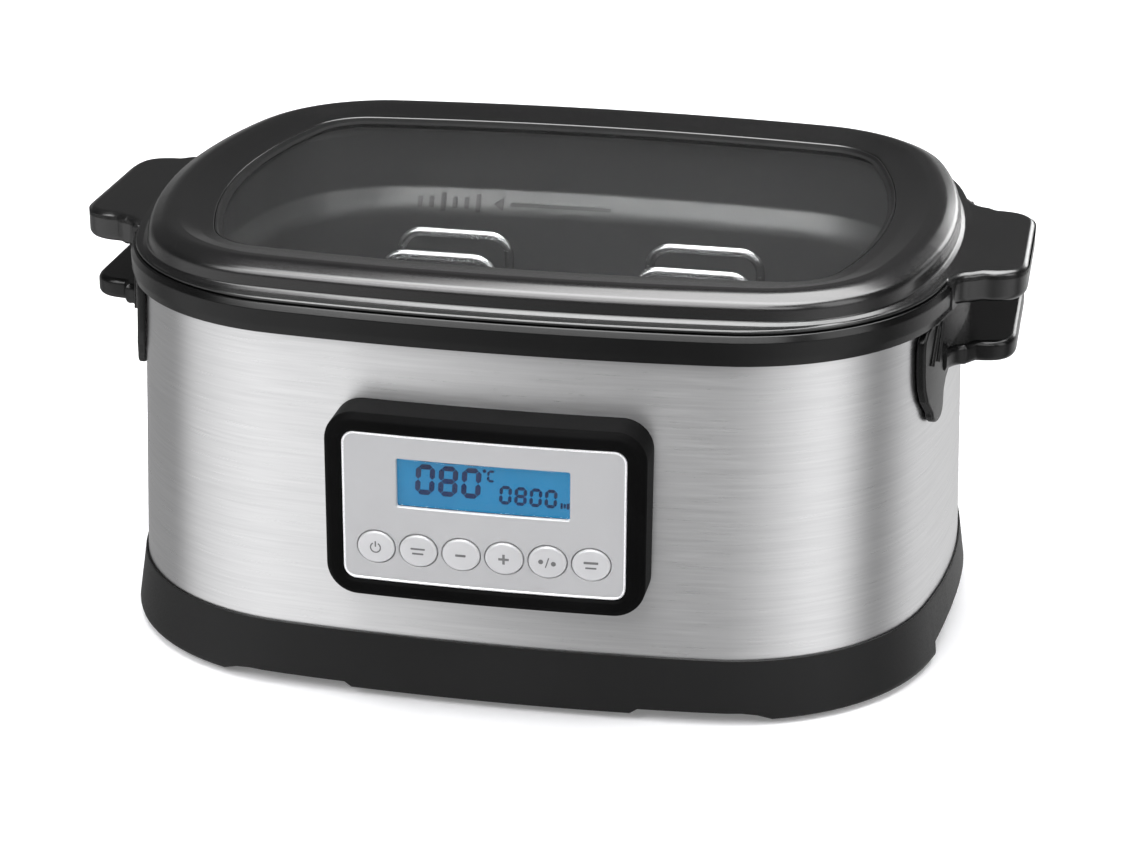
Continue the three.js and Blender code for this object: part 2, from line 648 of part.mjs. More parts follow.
// ---------------------------------------------------------------- rack
/** Base of the rack: a rounded wire ring with two long rails across it. */
function rackRing() {
  const halfX = 110;
  const halfY = 76;
  const corner = 24;
  const section = new THREE.EllipseCurve(0, 0, RACK_WIRE, RACK_WIRE).getPoints(6).slice(0, -1);
  const loops = section.map((s) => {
    const outline = roundedRect(halfX + s.x, halfY + s.x, corner + s.x);
    return outline.getPoints(3).map((p) => new THREE.Vector3(p.x, p.y, s.y));
  });
  const rails = [-30, 30].map((y) => alongX(rod(RACK_WIRE, -halfX, halfX, 6)).translate(0, y, 0));
  return join(skinLoops(loops, true), ...rails).translate(RACK_SHIFT, 0, RACK_Z);
}

/** Two upright loops on two foot wires, which lie across the rack's base ring. */
function rackDivider(column) {
  const footZ = RACK_Z + 2 * RACK_WIRE + GAP;
  const facing = new THREE.Vector3(0, 1, 0);
  const loop = new THREE.Path();
  loop.moveTo(-LOOP.halfW, footZ);
  loop.lineTo(-LOOP.halfW, LOOP.top - LOOP.radius);
  loop.absarc(-LOOP.halfW + LOOP.radius, LOOP.top - LOOP.radius, LOOP.radius, Math.PI, Math.PI / 2, true);
  loop.absarc(LOOP.halfW - LOOP.radius, LOOP.top - LOOP.radius, LOOP.radius, Math.PI / 2, 0, true);
  loop.lineTo(LOOP.halfW, footZ);
  const upright = (y) => {
    const points = loop.getPoints(3).map((p) => new THREE.Vector3(p.x, y, p.y));
    const distinct = points.filter((p, i) => i === 0 || p.distanceTo(points[i - 1]) > 0.01);
    return sweptWire(distinct, facing, RACK_WIRE);
  };
  const feet = [-1, 1].map((side) =>
    alongY(rod(RACK_WIRE, -78, 78, 6)).translate(side * LOOP.halfW, 0, footZ));
  return join(feet[0], feet[1], upright(-LOOP.row), upright(LOOP.row))
    .translate(RACK_SHIFT + column * LOOP.column, 0, 0);
}

// ---------------------------------------------------------------- assembly
const appliance = new THREE.Group();

function place(name, geometry, material, x = 0, y = 0, z = 0) {
  const mesh = new THREE.Mesh(geometry, material);
  mesh.name = name;
  mesh.position.set(x, y, z);
  appliance.add(mesh);
}

place('outer_shell', outerShell(), finish.steel());
place('base_tray', baseTray(), finish.skirt());
place('bottom_plate', bottomPlate(), finish.zinc());
place('rim_collar', rimCollar(), finish.plastic());
place('pot_gasket', potGasket(), finish.silicone());
place('inner_pot', innerPot(), finish.nonstick());
place('insulation_wrap', insulationWrap(), finish.fibre());
place('heating_plate', heatingPlate(), finish.aluminium());
place('heater_element', heaterElement(), finish.zinc());
place('temperature_sensor', temperatureSensor(), finish.aluminium());
place('thermal_fuse', thermalFuse(), finish.ceramic());
place('power_board', powerBoard(), finish.board());
place('cord_gland', cordGland(), finish.rubber());

let corner = 0;
for (const sx of [-1, 1]) {
  for (const sy of [-1, 1]) {
    corner += 1;
    place(`foot_pad_${corner}`, footPad(), finish.rubber(), sx * PAD.x, sy * PAD.y);
    place(`support_post_${corner}`, supportPost(), finish.zinc(), sx * POST.x, sy * POST.y);
    place(
      `base_screw_${corner}`, screw(3.6, 1.4, 1.6, 12), finish.zinc(),
      sx * POST.x, sy * POST.y, FLOOR_TOP - FLOOR_THICK - GAP,
    );
    const shellInside = sideX(shellOffset(HANDLE_SCREW.z) - SHEET, HANDLE_SCREW.y) - 0.6;
    const handleScrew = alongX(screw(3.4, 2.2, 1.5, 13));
    handleScrew.translate(shellInside, 0, 0).rotateZ(sx > 0 ? 0 : Math.PI);
    place(
      `handle_screw_${corner}`, handleScrew, finish.zinc(), 0, sy * HANDLE_SCREW.y, HANDLE_SCREW.z,
    );
  }
}

place('handle_right', bodyHandle(), finish.plastic());
place('handle_left', bodyHandle().rotateZ(Math.PI), finish.plastic());

place('panel_bezel', panelBezel(), finish.plastic());
place('panel_fascia', panelFascia(), finish.fascia());
place('display_lens', displayLens(), finish.glass());
place('lcd_module', lcdModule(), finish.display());
place('control_board', controlBoard(), finish.board());
place('panel_backbox', panelBackbox(), finish.component());
KEY_NAMES.forEach((name, i) => {
  place(`button_${name}`, keyCap(keyX(i)), finish.key());
  place(`tact_switch_${i + 1}`, tactSwitch(keyX(i)), finish.component());
});

place('lid_frame', lidFrame(), finish.plastic());
place('lid_glass', lidGlass(), finish.glass());
place('lid_retainer', lidRetainer(), finish.plastic());
place('lid_seal', lidSeal(), finish.silicone());
lidScrewSpots().forEach(([x, y], i) => {
  place(`lid_screw_${i + 1}`, screw(3.2, 1.4, 1.5, 6.8), finish.zinc(), x, y, 166 - GAP);
});

place('rack_ring', rackRing(), finish.wire());
place('rack_divider_left', rackDivider(-1), finish.wire());
place('rack_divider_right', rackDivider(1), finish.wire());

// the origin is the centre of the whole object's footprint, on the table
appliance.updateMatrixWorld(true);
const extent = new THREE.Box3().setFromObject(appliance);
appliance.position.y = -(extent.min.y + extent.max.y) / 2;

export default appliance;
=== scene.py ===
"""Look of the sous vide water bath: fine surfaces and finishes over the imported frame."""

import json
import math

import bmesh
import bpy
import numpy as np
from mathutils import Matrix, Vector


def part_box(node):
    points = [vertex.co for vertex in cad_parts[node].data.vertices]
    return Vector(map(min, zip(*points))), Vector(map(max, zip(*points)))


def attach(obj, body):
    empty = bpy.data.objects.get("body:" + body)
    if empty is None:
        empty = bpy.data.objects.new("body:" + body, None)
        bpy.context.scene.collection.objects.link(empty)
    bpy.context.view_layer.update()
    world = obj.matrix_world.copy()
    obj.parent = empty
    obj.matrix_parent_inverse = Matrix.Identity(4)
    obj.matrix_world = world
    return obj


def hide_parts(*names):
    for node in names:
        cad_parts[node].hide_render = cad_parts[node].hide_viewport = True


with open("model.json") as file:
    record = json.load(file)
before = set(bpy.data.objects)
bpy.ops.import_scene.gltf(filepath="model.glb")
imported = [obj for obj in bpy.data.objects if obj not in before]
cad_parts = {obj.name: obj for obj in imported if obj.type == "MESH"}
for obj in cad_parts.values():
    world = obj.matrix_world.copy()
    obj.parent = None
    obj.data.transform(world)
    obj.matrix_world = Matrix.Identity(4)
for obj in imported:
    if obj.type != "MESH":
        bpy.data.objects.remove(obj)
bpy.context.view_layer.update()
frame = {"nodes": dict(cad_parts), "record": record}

MM = 0.001
shell_lo, shell_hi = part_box("outer_shell")
CENTRE_Y = (shell_lo.y + shell_hi.y) / 2 / MM  # the plan's own centre line, in the row frame

# ---------------------------------------------------------------- plan outline (mm)
HALF_LENGTH, HALF_WIDTH = 175.0, 139.0
LONG_BOW, SHORT_BOW, CORNER_R = 7.0, 11.0, 89.0
BODY, LID, WINDOW = (0.0, 0.0), (14.0, 1.5), (25.0, 3.0)  # how far corners tighten, ends stretch
SHELL_TAPER = 4.4 / 124


def arc_radius(half_chord, bow):
    return (half_chord**2 + bow**2) / (2 * bow)


LONG_R = arc_radius(HALF_LENGTH - 0.7 * CORNER_R, LONG_BOW)
SHORT_R = arc_radius(HALF_WIDTH - 0.7 * CORNER_R, SHORT_BOW)
LONG_CENTRE = np.array([0.0, HALF_WIDTH - LONG_R])


def quarter_plan(tighten, stretch):
    """Arcs of one quarter: (centre, radius, first angle, last angle) for side, corner and long side."""
    short = np.array([HALF_LENGTH + stretch - SHORT_R, 0.0])
    radius = CORNER_R - tighten
    between = short - LONG_CENTRE
    span = np.hypot(*between)
    along = (span**2 + (LONG_R - radius) ** 2 - (SHORT_R - radius) ** 2) / (2 * span)
    across = math.sqrt((LONG_R - radius) ** 2 - along**2)
    unit = between / span
    corner = LONG_CENTRE + unit * along + np.array([unit[1], -unit[0]]) * across
    a = math.atan2(corner[1], corner[0] - short[0])
    b = math.atan2(corner[1] - LONG_CENTRE[1], corner[0])
    return (
        (short, SHORT_R, 0.0, a),
        (corner, radius, a, b),
        (LONG_CENTRE, LONG_R, b, math.pi / 2),
    )


def quarter_samples():
    """(arc, share of the arc) of each column in a quarter, with columns at the skirt's steps."""
    side, _, front = quarter_plan(*BODY)
    ys = (0, 10, 20, 29, 37.7, 38.3, 46, 53, 59.7, 60.3, 66)
    samples = [(0, math.asin(y / SHORT_R) / side[3]) for y in ys]
    samples += [(1, i / 18) for i in range(18)]
    xs = (112, 108, 104.5, 95, 85, 72, 60, 57, 50.6, 40, 30, 20, 10, 0)
    for x in xs:
        share = (math.acos(x / LONG_R) - front[2]) / (front[3] - front[2])
        if share >= 0:
            samples.append((2, share))
    return samples


SAMPLES = quarter_samples()


def plan_loop(offset, z, plan=BODY):
    """The plan outline grown by offset at height z, anticlockwise, in the part's own frame."""
    arcs = quarter_plan(*plan)
    quarter = []
    for arc, share in SAMPLES:
        centre, radius, start, end = arcs[arc]
        angle = start + (end - start) * share
        quarter.append(centre + (radius + offset) * np.array([math.cos(angle), math.sin(angle)]))
    quarter = np.array(quarter)
    forward, backward = quarter[:-1], quarter[1:][::-1]
    loop = np.vstack([
        forward, backward * [-1, 1], forward * [-1, -1], backward * [1, -1],
    ])
    return np.column_stack([loop, np.full(len(loop), float(z))])


def front_drop(x):
    return LONG_R - np.sqrt(LONG_R**2 - np.asarray(x, float) ** 2)


def wall_x(offset, y):
    """X of the plan's right-hand wall at y, over the side arc and the corner."""
    loop = plan_loop(offset, 0)
    quarter = loop[: len(SAMPLES)]
    return float(np.interp(abs(y), quarter[:, 1], quarter[:, 0]))


def shell_offset(z):
    return -SHELL_TAPER * (np.asarray(z, float) - 27)


def rounded(profile, closed=True, steps=4):
    """Rounds a profile's corners. A corner is (offset, z, radius, plan); the last two may be left out."""
    corners = [(*c, 0.0, BODY)[:4] if len(c) < 3 else (*c, BODY)[:4] for c in profile]
    points, n = [], len(corners)
    for i, (e, z, radius, plan) in enumerate(corners):
        here = np.array([e, z])
        if radius <= 0 or (not closed and i in (0, n - 1)):
            points.append((e, z, plan))
            continue
        before = np.array(corners[i - 1][:2]) - here
        after = np.array(corners[(i + 1) % n][:2]) - here
        before_len, after_len = np.hypot(*before), np.hypot(*after)
        before, after = before / before_len, after / after_len
        half = math.acos(max(-1.0, min(1.0, float(before @ after)))) / 2
        reach = min(radius / math.tan(half), before_len * 0.49, after_len * 0.49)
        start, end = here + before * reach, here + after * reach
        for k in range(steps + 1):
            t = k / steps
            p = (1 - t) ** 2 * start + 2 * t * (1 - t) * (here * 0.86 + (start + end) * 0.07) + t**2 * end
            points.append((p[0], p[1], plan))
    return points


# ---------------------------------------------------------------- mesh builders
def flatten_shading(obj):
    """Large flat faces keep their own shading next to small rounded edges."""
    weigh = obj.modifiers.new("flat_faces", "WEIGHTED_NORMAL")
    weigh.weight = 80
    weigh.keep_sharp = True


def new_object(name, points, faces, sharp_deg=38):
    """A smooth-shaded mesh object from points in mm in the part's own frame."""
    mesh = bpy.data.meshes.new(name)
    placed = (np.asarray(points, float) + [0, CENTRE_Y, 0]) * MM
    mesh.from_pydata(placed.tolist(), [], [tuple(f) for f in faces])
    mesh.validate()
    obj = bpy.data.objects.new(name, mesh)
    bpy.context.scene.collection.objects.link(obj)
    finish_mesh(obj, sharp_deg)
    flatten_shading(obj)
    return obj


def finish_mesh(obj, sharp_deg=38):
    bm = bmesh.new()
    bm.from_mesh(obj.data)
    bmesh.ops.remove_doubles(bm, verts=bm.verts, dist=1e-6)
    bmesh.ops.dissolve_degenerate(bm, edges=bm.edges, dist=1e-7)
    bmesh.ops.recalc_face_normals(bm, faces=bm.faces)
    bm.to_mesh(obj.data)
    bm.free()
    obj.data.shade_smooth()
    obj.data.set_sharp_from_angle(angle=math.radians(sharp_deg))


def skin(loops, ring=False, caps=True):
    """Points and faces over loops of equal length; a ring joins its last loop to its first."""
    count, size = len(loops), len(loops[0])
    faces = []
    for i in range(count if ring else count - 1):
        j = (i + 1) % count
        for k in range(size):
            m = (k + 1) % size
            faces.append((i * size + k, i * size + m, j * size + m, j * size + k))
    if not ring and caps:
        faces.append(tuple(range(size))[::-1])
        faces.append(tuple((count - 1) * size + k for k in range(size)))
    return np.vstack(loops), faces


def merge(*shapes):
    points, faces, base = [], [], 0
    for p, f in shapes:
        points.append(p)
        faces += [tuple(i + base for i in face) for face in f]
        base += len(p)
    return np.vstack(points), faces


def plan_ring(profile):
    return skin([plan_loop(e, z, plan) for e, z, plan in rounded(profile)], ring=True)


def plan_stack(profile):
    return skin([plan_loop(e, z, plan) for e, z, plan in rounded(profile, closed=False)])


def turned(profile, segments=40, steps=3):
    """A solid of revolution about Z from (radius, z, fillet) corners, given from axis to axis."""
    loops = []
    for r, z, _ in rounded(profile, closed=False, steps=steps):
        angles = np.arange(segments) * math.tau / segments
        loops.append(np.column_stack([
            max(r, 0.02) * np.cos(angles), max(r, 0.02) * np.sin(angles), np.full(segments, z),
        ]))
    return skin(loops)


def tube(path, radius, closed=False, sides=16):
    """A round wire along a path of points, with its frame carried along without twist."""
    path = np.asarray(path, float)
    ahead = np.roll(path, -1, 0) - path
    behind = path - np.roll(path, 1, 0)
    if not closed:
        ahead[-1], behind[0] = behind[-1], ahead[0]
    tangents = ahead / np.linalg.norm(ahead, axis=1)[:, None]
    tangents = tangents + behind / np.linalg.norm(behind, axis=1)[:, None]
    tangents /= np.linalg.norm(tangents, axis=1)[:, None]
    side = np.cross(tangents[0], [0.31, 0.17, 0.93])
    side /= np.linalg.norm(side)
    angles = np.arange(sides) * math.tau / sides
    loops = []
    for p, t in zip(path, tangents):
        side = side - t * (side @ t)
        side /= np.linalg.norm(side)
        up = np.cross(t, side)
        loops.append(p + radius * (np.outer(np.cos(angles), side) + np.outer(np.sin(angles), up)))
    return skin(loops, ring=closed)


def rounded_path(corners, radii, steps=7, closed=False):
    """A path through 3-D corners with an arc-like bend of the given radius at each."""
    corners = [np.array(c, float) for c in corners]
    out, n = [], len(corners)
    for i, here in enumerate(corners):
        if not closed and i in (0, n - 1):
            out.append(here)
            continue
        before, after = corners[i - 1] - here, corners[(i + 1) % n] - here
        before, after = before / np.linalg.norm(before), after / np.linalg.norm(after)
        half = math.acos(max(-1.0, min(1.0, float(before @ after)))) / 2
        reach = radii / math.tan(half)
        centre = here + (before + after) / np.linalg.norm(before + after) * radii / math.sin(half)
        start, end = here + before * reach - centre, here + after * reach - centre
        sweep = math.pi - 2 * half
        for k in range(steps + 1):
            t = k / steps
            weight_a, weight_b = math.sin((1 - t) * sweep), math.sin(t * sweep)
            out.append(centre + (start * weight_a + end * weight_b) / math.sin(sweep))
    return out


def flat_plate(name, outlines, thickness, bevel, bend, slices=(), steps=2):
    """A plate cut from flat outlines (first the edge, then holes), bevelled, sliced and bent."""
    curve = bpy.data.curves.new(name, "CURVE")
    curve.dimensions = "2D"
    curve.fill_mode = "BOTH"
    curve.extrude = thickness / 2 - bevel
    curve.bevel_depth = bevel
    curve.bevel_resolution = steps
    curve.offset = -bevel
    for outline in outlines:
        spline = curve.splines.new("POLY")
        spline.points.add(len(outline) - 1)
        for point, (x, y) in zip(spline.points, outline):
            point.co = (x, y, 0, 1)
        spline.use_cyclic_u = True
    maker = bpy.data.objects.new(name + "_maker", curve)
    bpy.context.scene.collection.objects.link(maker)
    mesh = bpy.data.meshes.new_from_object(maker)
    bpy.data.objects.remove(maker)
    bpy.data.curves.remove(curve)
    bm = bmesh.new()
    bm.from_mesh(mesh)
    bmesh.ops.remove_doubles(bm, verts=bm.verts, dist=1e-4)
    for axis, value in slices:
        normal, point = [0, 0, 0], [0, 0, 0]
        normal[axis], point[axis] = 1, value
        bmesh.ops.bisect_plane(
            bm, geom=bm.verts[:] + bm.edges[:] + bm.faces[:], plane_co=point, plane_no=normal,
        )
    for v in bm.verts:
        bent = bend(v.co.x, v.co.y, v.co.z)
        v.co = Vector((bent[0], bent[1] + CENTRE_Y, bent[2])) * MM
    bmesh.ops.recalc_face_normals(bm, faces=bm.faces)
    bm.to_mesh(mesh)
    bm.free()
    mesh.name = name
    obj = bpy.data.objects.new(name, mesh)
    bpy.context.scene.collection.objects.link(obj)
    mesh.shade_smooth()
    mesh.set_sharp_from_angle(angle=math.radians(50))
    flatten_shading(obj)
    return obj


def rounded_rect(half_w, half_h, radius, cx=0.0, cy=0.0, steps=8):
    points = []
    for sx, sy, start in ((1, 1, 0), (-1, 1, 90), (-1, -1, 180), (1, -1, 270)):
        for k in range(steps + 1):
            a = math.radians(start + 90 * k / steps)
            points.append((
                cx + sx * (half_w - radius) + radius * math.cos(a),
                cy + sy * (half_h - radius) + radius * math.sin(a),
            ))
    return points


# ---------------------------------------------------------------- finishes
def socket(bsdf, **values):
    """Sets uniform values on a Principled shader under short names."""
    names = {
        "metal": "Metallic", "ior": "IOR", "specular": "Specular IOR Level",
        "aniso": "Anisotropic", "aniso_turn": "Anisotropic Rotation",
        "glow": "Emission Strength", "clear": "Transmission Weight",
    }
    for key, value in values.items():
        bsdf.inputs[names[key]].default_value = value


def noise(tree, scale, detail=3.0, stretch=(1, 1, 1), rough=0.55):
    """A noise texture in the object's own coordinates; scale is features per metre."""
    nodes, links = tree.nodes, tree.links
    place = nodes.new("ShaderNodeTexCoord")
    mapping = nodes.new("ShaderNodeMapping")
    mapping.inputs["Scale"].default_value = stretch
    texture = nodes.new("ShaderNodeTexNoise")
    texture.inputs["Scale"].default_value = scale
    texture.inputs["Detail"].default_value = detail
    texture.inputs["Roughness"].default_value = rough
    links.new(place.outputs["Object"], mapping.inputs["Vector"])
    links.new(mapping.outputs["Vector"], texture.inputs["Vector"])
    return texture.outputs["Fac"]


def remap(tree, value, low, high):
    node = tree.nodes.new("ShaderNodeMapRange")
    node.inputs["From Min"].default_value = 0.3
    node.inputs["From Max"].default_value = 0.7
    node.inputs["To Min"].default_value = low
    node.inputs["To Max"].default_value = high
    tree.links.new(value, node.inputs["Value"])
    return node.outputs["Result"]


def blend_colours(tree, value, dark, light):
    ramp = tree.nodes.new("ShaderNodeValToRGB")
    ramp.color_ramp.elements[0].position = 0.3
    ramp.color_ramp.elements[1].position = 0.7
    ramp.color_ramp.elements[0].color = (*dark, 1)
    ramp.color_ramp.elements[1].color = (*light, 1)
    tree.links.new(value, ramp.inputs["Fac"])
    return ramp.outputs["Color"]


def finish(name, dark, light, rough, patch, grain, relief, stretch=(1, 1, 1), **sockets):
    """A Principled finish: colour drifts from dark to light over patches (per metre),
    roughness runs over the pair rough with the grain, and relief is (strength, depth in mm)."""
    material = bpy.data.materials.new(name)
    material.use_nodes = True
    tree = material.node_tree
    bsdf = tree.nodes["Principled BSDF"]
    tree.links.new(
        blend_colours(tree, noise(tree, patch, 4, stretch), dark, light), bsdf.inputs["Base Color"],
    )
    fine = noise(tree, grain, 3, stretch)
    tree.links.new(remap(tree, fine, *rough), bsdf.inputs["Roughness"])
    bump = tree.nodes.new("ShaderNodeBump")
    bump.inputs["Strength"].default_value = relief[0]
    bump.inputs["Distance"].default_value = relief[1] * MM
    tree.links.new(fine, bump.inputs["Height"])
    tree.links.new(bump.outputs["Normal"], bsdf.inputs["Normal"])
    socket(bsdf, **sockets)
    return material


def brushed_steel():
    """Sheet brushed lengthways: long scratches around the body, highlights spread up and down."""
    material = finish(
        "brushed_steel", (0.56, 0.56, 0.567), (0.63, 0.63, 0.636), (0.27, 0.33),
        patch=900, grain=1500, relief=(0.012, 0.02), stretch=(0.03, 0.03, 1.0),
        metal=1.0, aniso=0.72, aniso_turn=0.25,
    )
    tree = material.node_tree
    tangent = tree.nodes.new("ShaderNodeTangent")
    tangent.direction_type = "RADIAL"
    tangent.axis = "Z"
    tree.links.new(tangent.outputs["Tangent"], tree.nodes["Principled BSDF"].inputs["Tangent"])
    return material


def clear_glass(name, tint, rough, bend_index):
    """Flat clear glass that lets lamps through to what is behind it."""
    material = finish(
        name, tint, (1, 1, 1), rough, patch=6, grain=9, relief=(0.01, 0.01), clear=1.0, ior=bend_index,
    )
    tree = material.node_tree
    output = tree.nodes["Material Output"]
    through = tree.nodes.new("ShaderNodeBsdfTransparent")
    through.inputs["Color"].default_value = (*tint, 1)
    path = tree.nodes.new("ShaderNodeLightPath")
    mix = tree.nodes.new("ShaderNodeMixShader")
    tree.links.new(path.outputs["Is Shadow Ray"], mix.inputs["Fac"])
    tree.links.new(tree.nodes["Principled BSDF"].outputs["BSDF"], mix.inputs[1])
    tree.links.new(through.outputs["BSDF"], mix.inputs[2])
    tree.links.new(mix.outputs["Shader"], output.inputs["Surface"])
    return material


def backlit_display():
    """Blue backlight in soft patches, under a faint dot grain."""
    material = finish(
        "display_blue", (0.002, 0.045, 0.10), (0.004, 0.065, 0.13), (0.3, 0.4),
        patch=26, grain=2600, relief=(0.05, 0.02), glow=0.31, specular=0.05,
    )
    tree = material.node_tree
    bsdf = tree.nodes["Principled BSDF"]
    glow = blend_colours(tree, noise(tree, 30, 2), (0.0, 0.32, 0.66), (0.015, 0.42, 0.82))
    tree.links.new(glow, bsdf.inputs["Emission Color"])
    return material


def grey(value):
    """A neutral colour, a touch cool."""
    return (value, value, value * 1.02)


FINISHES = {
    "brushed_steel": brushed_steel(),
    "black_plastic": finish(
        "black_plastic", grey(0.0018), grey(0.0036), (0.20, 0.27), 14, 1500, (0.02, 0.03), specular=0.26,
    ),
    "lid_plastic": finish(
        "lid_plastic", grey(0.0035), grey(0.006), (0.21, 0.27), 14, 1300, (0.015, 0.03), specular=0.56,
    ),
    "bezel_plastic": finish(
        "bezel_plastic", grey(0.003), grey(0.005), (0.40, 0.48), 20, 1600, (0.02, 0.03), specular=0.01,
    ),
    "skirt_plastic": finish(
        "skirt_plastic", grey(0.006), grey(0.009), (0.42, 0.52), 12, 1200, (0.04, 0.05), specular=0.2,
    ),
    "silicone": finish(
        "silicone", grey(0.003), grey(0.006), (0.6, 0.7), 30, 900, (0.1, 0.05), specular=0.1,
    ),
    "nonstick_coating": finish(
        "nonstick_coating", grey(0.019), grey(0.027), (0.34, 0.42), 9, 1100, (0.05, 0.05),
        metal=0.2, specular=0.9,
    ),
    "insulation_fibre": finish(
        "insulation_fibre", (0.55, 0.50, 0.40), (0.74, 0.70, 0.60), (0.85, 0.95), 60, 700, (0.8, 0.5),
    ),
    "aluminium": finish(
        "aluminium", grey(0.55), grey(0.66), (0.34, 0.46), 25, 600, (0.2, 0.05), metal=1.0,
    ),
    "heater_sheath": finish(
        "heater_sheath", (0.25, 0.22, 0.20), (0.42, 0.36, 0.30), (0.3, 0.42), 30, 500, (0.1, 0.05),
        metal=1.0,
    ),
    "ceramic_white": finish(
        "ceramic_white", (0.74, 0.72, 0.66), (0.82, 0.80, 0.75), (0.35, 0.5), 60, 900, (0.1, 0.05),
    ),
    "circuit_board": finish(
        "circuit_board", (0.015, 0.10, 0.045), (0.03, 0.17, 0.08), (0.35, 0.45), 160, 1400, (0.3, 0.08),
    ),
    "rubber": finish("rubber", grey(0.015), grey(0.025), (0.6, 0.75), 40, 1500, (0.3, 0.08)),
    "zinc_steel": finish(
        "zinc_steel", grey(0.50), grey(0.62), (0.28, 0.4), 90, 1500, (0.15, 0.04), metal=1.0,
    ),
    "silver_fascia": finish(
        "silver_fascia", grey(0.41), grey(0.45), (0.38, 0.46), 7, 2600, (0.10, 0.03),
        metal=0.25, specular=0.5,
    ),
    "silver_key": finish(
        "silver_key", grey(0.47), grey(0.51), (0.34, 0.42), 30, 2600, (0.06, 0.03), metal=0.1,
        specular=0.5,
    ),
    # near-white border round the fascia: partly its own bright colour, partly painted highlight along the
    # fascia's edge
    "bright_trim": finish(
        "bright_trim", grey(0.80), grey(0.86), (0.22, 0.3), 30, 2600, (0.04, 0.02), metal=0.2,
        specular=0.8,
    ),
    "print_dark": finish(
        "print_dark", grey(0.10), grey(0.14), (0.4, 0.5), 90, 2400, (0.05, 0.02),
    ),
    "print_navy": finish(
        "print_navy", (0.001, 0.007, 0.035), (0.002, 0.011, 0.05), (0.6, 0.7), 90, 2400, (0.03, 0.02),
        specular=0.0,
    ),
    "print_faint": finish(
        "print_faint", grey(0.010), grey(0.014), (0.4, 0.5), 90, 1800, (0.05, 0.02),
    ),
    "component_black": finish(
        "component_black", grey(0.02), grey(0.03), (0.45, 0.55), 50, 1500, (0.2, 0.05),
    ),
    "polished_wire": finish(
        "polished_wire", grey(0.30), grey(0.37), (0.2, 0.28), 40, 500, (0.04, 0.03), metal=1.0,
    ),
    "display_blue": backlit_display(),
    "clear_lens": clear_glass("clear_lens", (0.97, 0.985, 1.0), (0.02, 0.05), 1.28),
    "lid_glass": clear_glass("lid_glass", (0.96, 0.975, 0.97), (0.0, 0.02), 1.44),
}
SLOT_OF = {p["node"]: p["material_slot"] for p in frame["record"]["subparts"]}
for node, obj in frame["nodes"].items():
    obj.data.materials.clear()
    obj.data.materials.append(FINISHES[SLOT_OF[node]])


def piece(obj, body, look, nodes=()):
    """Dresses a piece, puts it on its body and has it stand for CAD nodes."""
    obj.data.materials.clear()
    obj.data.materials.append(FINISHES[look])
    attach(obj, body)
    if nodes:
        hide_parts(*nodes)
    return obj


# ---------------------------------------------------------------- base
LOBE_ENDS = (-60.0, 38.0)


def skirt_floor(x, y):
    """Lowest height of the skirt at a plan position: low lobes at the corners, relief between."""
    ax = abs(x)
    if abs(y) > 100:
        if ax <= 57:
            return 3.0
        if ax <= 60:
            return 3.0 + 2 * (ax - 57) / 3
        if ax <= 104.5:
            return 5.0
        return max(2.0, 5.0 - 3 * (ax - 104.5) / 7.5)
    if LOBE_ENDS[0] < y < LOBE_ENDS[1] and ax > 100:
        middle, half = sum(LOBE_ENDS) / 2, (LOBE_ENDS[1] - LOBE_ENDS[0]) / 2
        return 8.0 + 4.5 * (1 - ((y - middle) / half) ** 2)
    return 2.0


def base_tray():
    profile = rounded([
        (0.4, 27, 0.0), (1.1, 27, 0.5), (2.7, 16, 9), (4.5, 4.2, 3), (4.3, 2, 1.2), (1.9, 2, 0.5),
        (-0.5, 20.4, 1), (-9, 20.4), (-9, 23.7), (0.4, 23.7),
    ])
    outer = sorted(((z, e) for e, z, _ in profile if e > 1.0 and z > 2.5))
    outer_z, outer_e = [p[0] for p in outer], [p[1] for p in outer]
    flat = plan_loop(0, 0)
    floors = np.array([skirt_floor(x, y) for x, y, _ in flat])
    loops = []
    for e, z, plan in profile:
        if z > 14 or e < 0:
            loops.append(plan_loop(e, z))
            continue
        inner_side = e < 2.5
        lifted = np.array([
            f + (z - 2) * (14 - f) / 12 for f in floors
        ])
        wall = np.interp(lifted, outer_z, outer_e)
        depth = np.interp(z, outer_z, outer_e) - e
        base = plan_loop(0, 0)
        grown = plan_loop(1, 0) - base
        reach = wall - max(depth, 0) if not inner_side else wall - 2.4
        loop = base + grown * reach[:, None]
        loop[:, 2] = lifted
        loops.append(loop)
    return skin(loops, ring=True)


piece(new_object("base_skirt", *base_tray()), "housing", "skirt_plastic", ["base_tray"])

for i in range(4):
    lo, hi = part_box(f"foot_pad_{i + 1}")
    centre = np.array([(lo.x + hi.x) / 2 / MM, (lo.y + hi.y) / 2 / MM - CENTRE_Y, 0])
    foot = turned([
        (0, 0.35), (6.2, 0.35, 0.3), (6.8, 0, 0.2), (9.2, 0, 0.5), (10, 1.2, 0.6), (10, 5.3, 0.6),
        (3.2, 5.3), (3.2, 7.9), (4.3, 8.3, 0.4), (2.6, 11, 0.5), (0, 11),
    ])
    piece(
        new_object(f"foot_{i + 1}", foot[0] + centre, foot[1]), "housing", "rubber",
        [f"foot_pad_{i + 1}"],
    )

# ---------------------------------------------------------------- steel shell
PANEL_Z = 88.0
OPENING = {"x": 50.6, "z": 28.6}


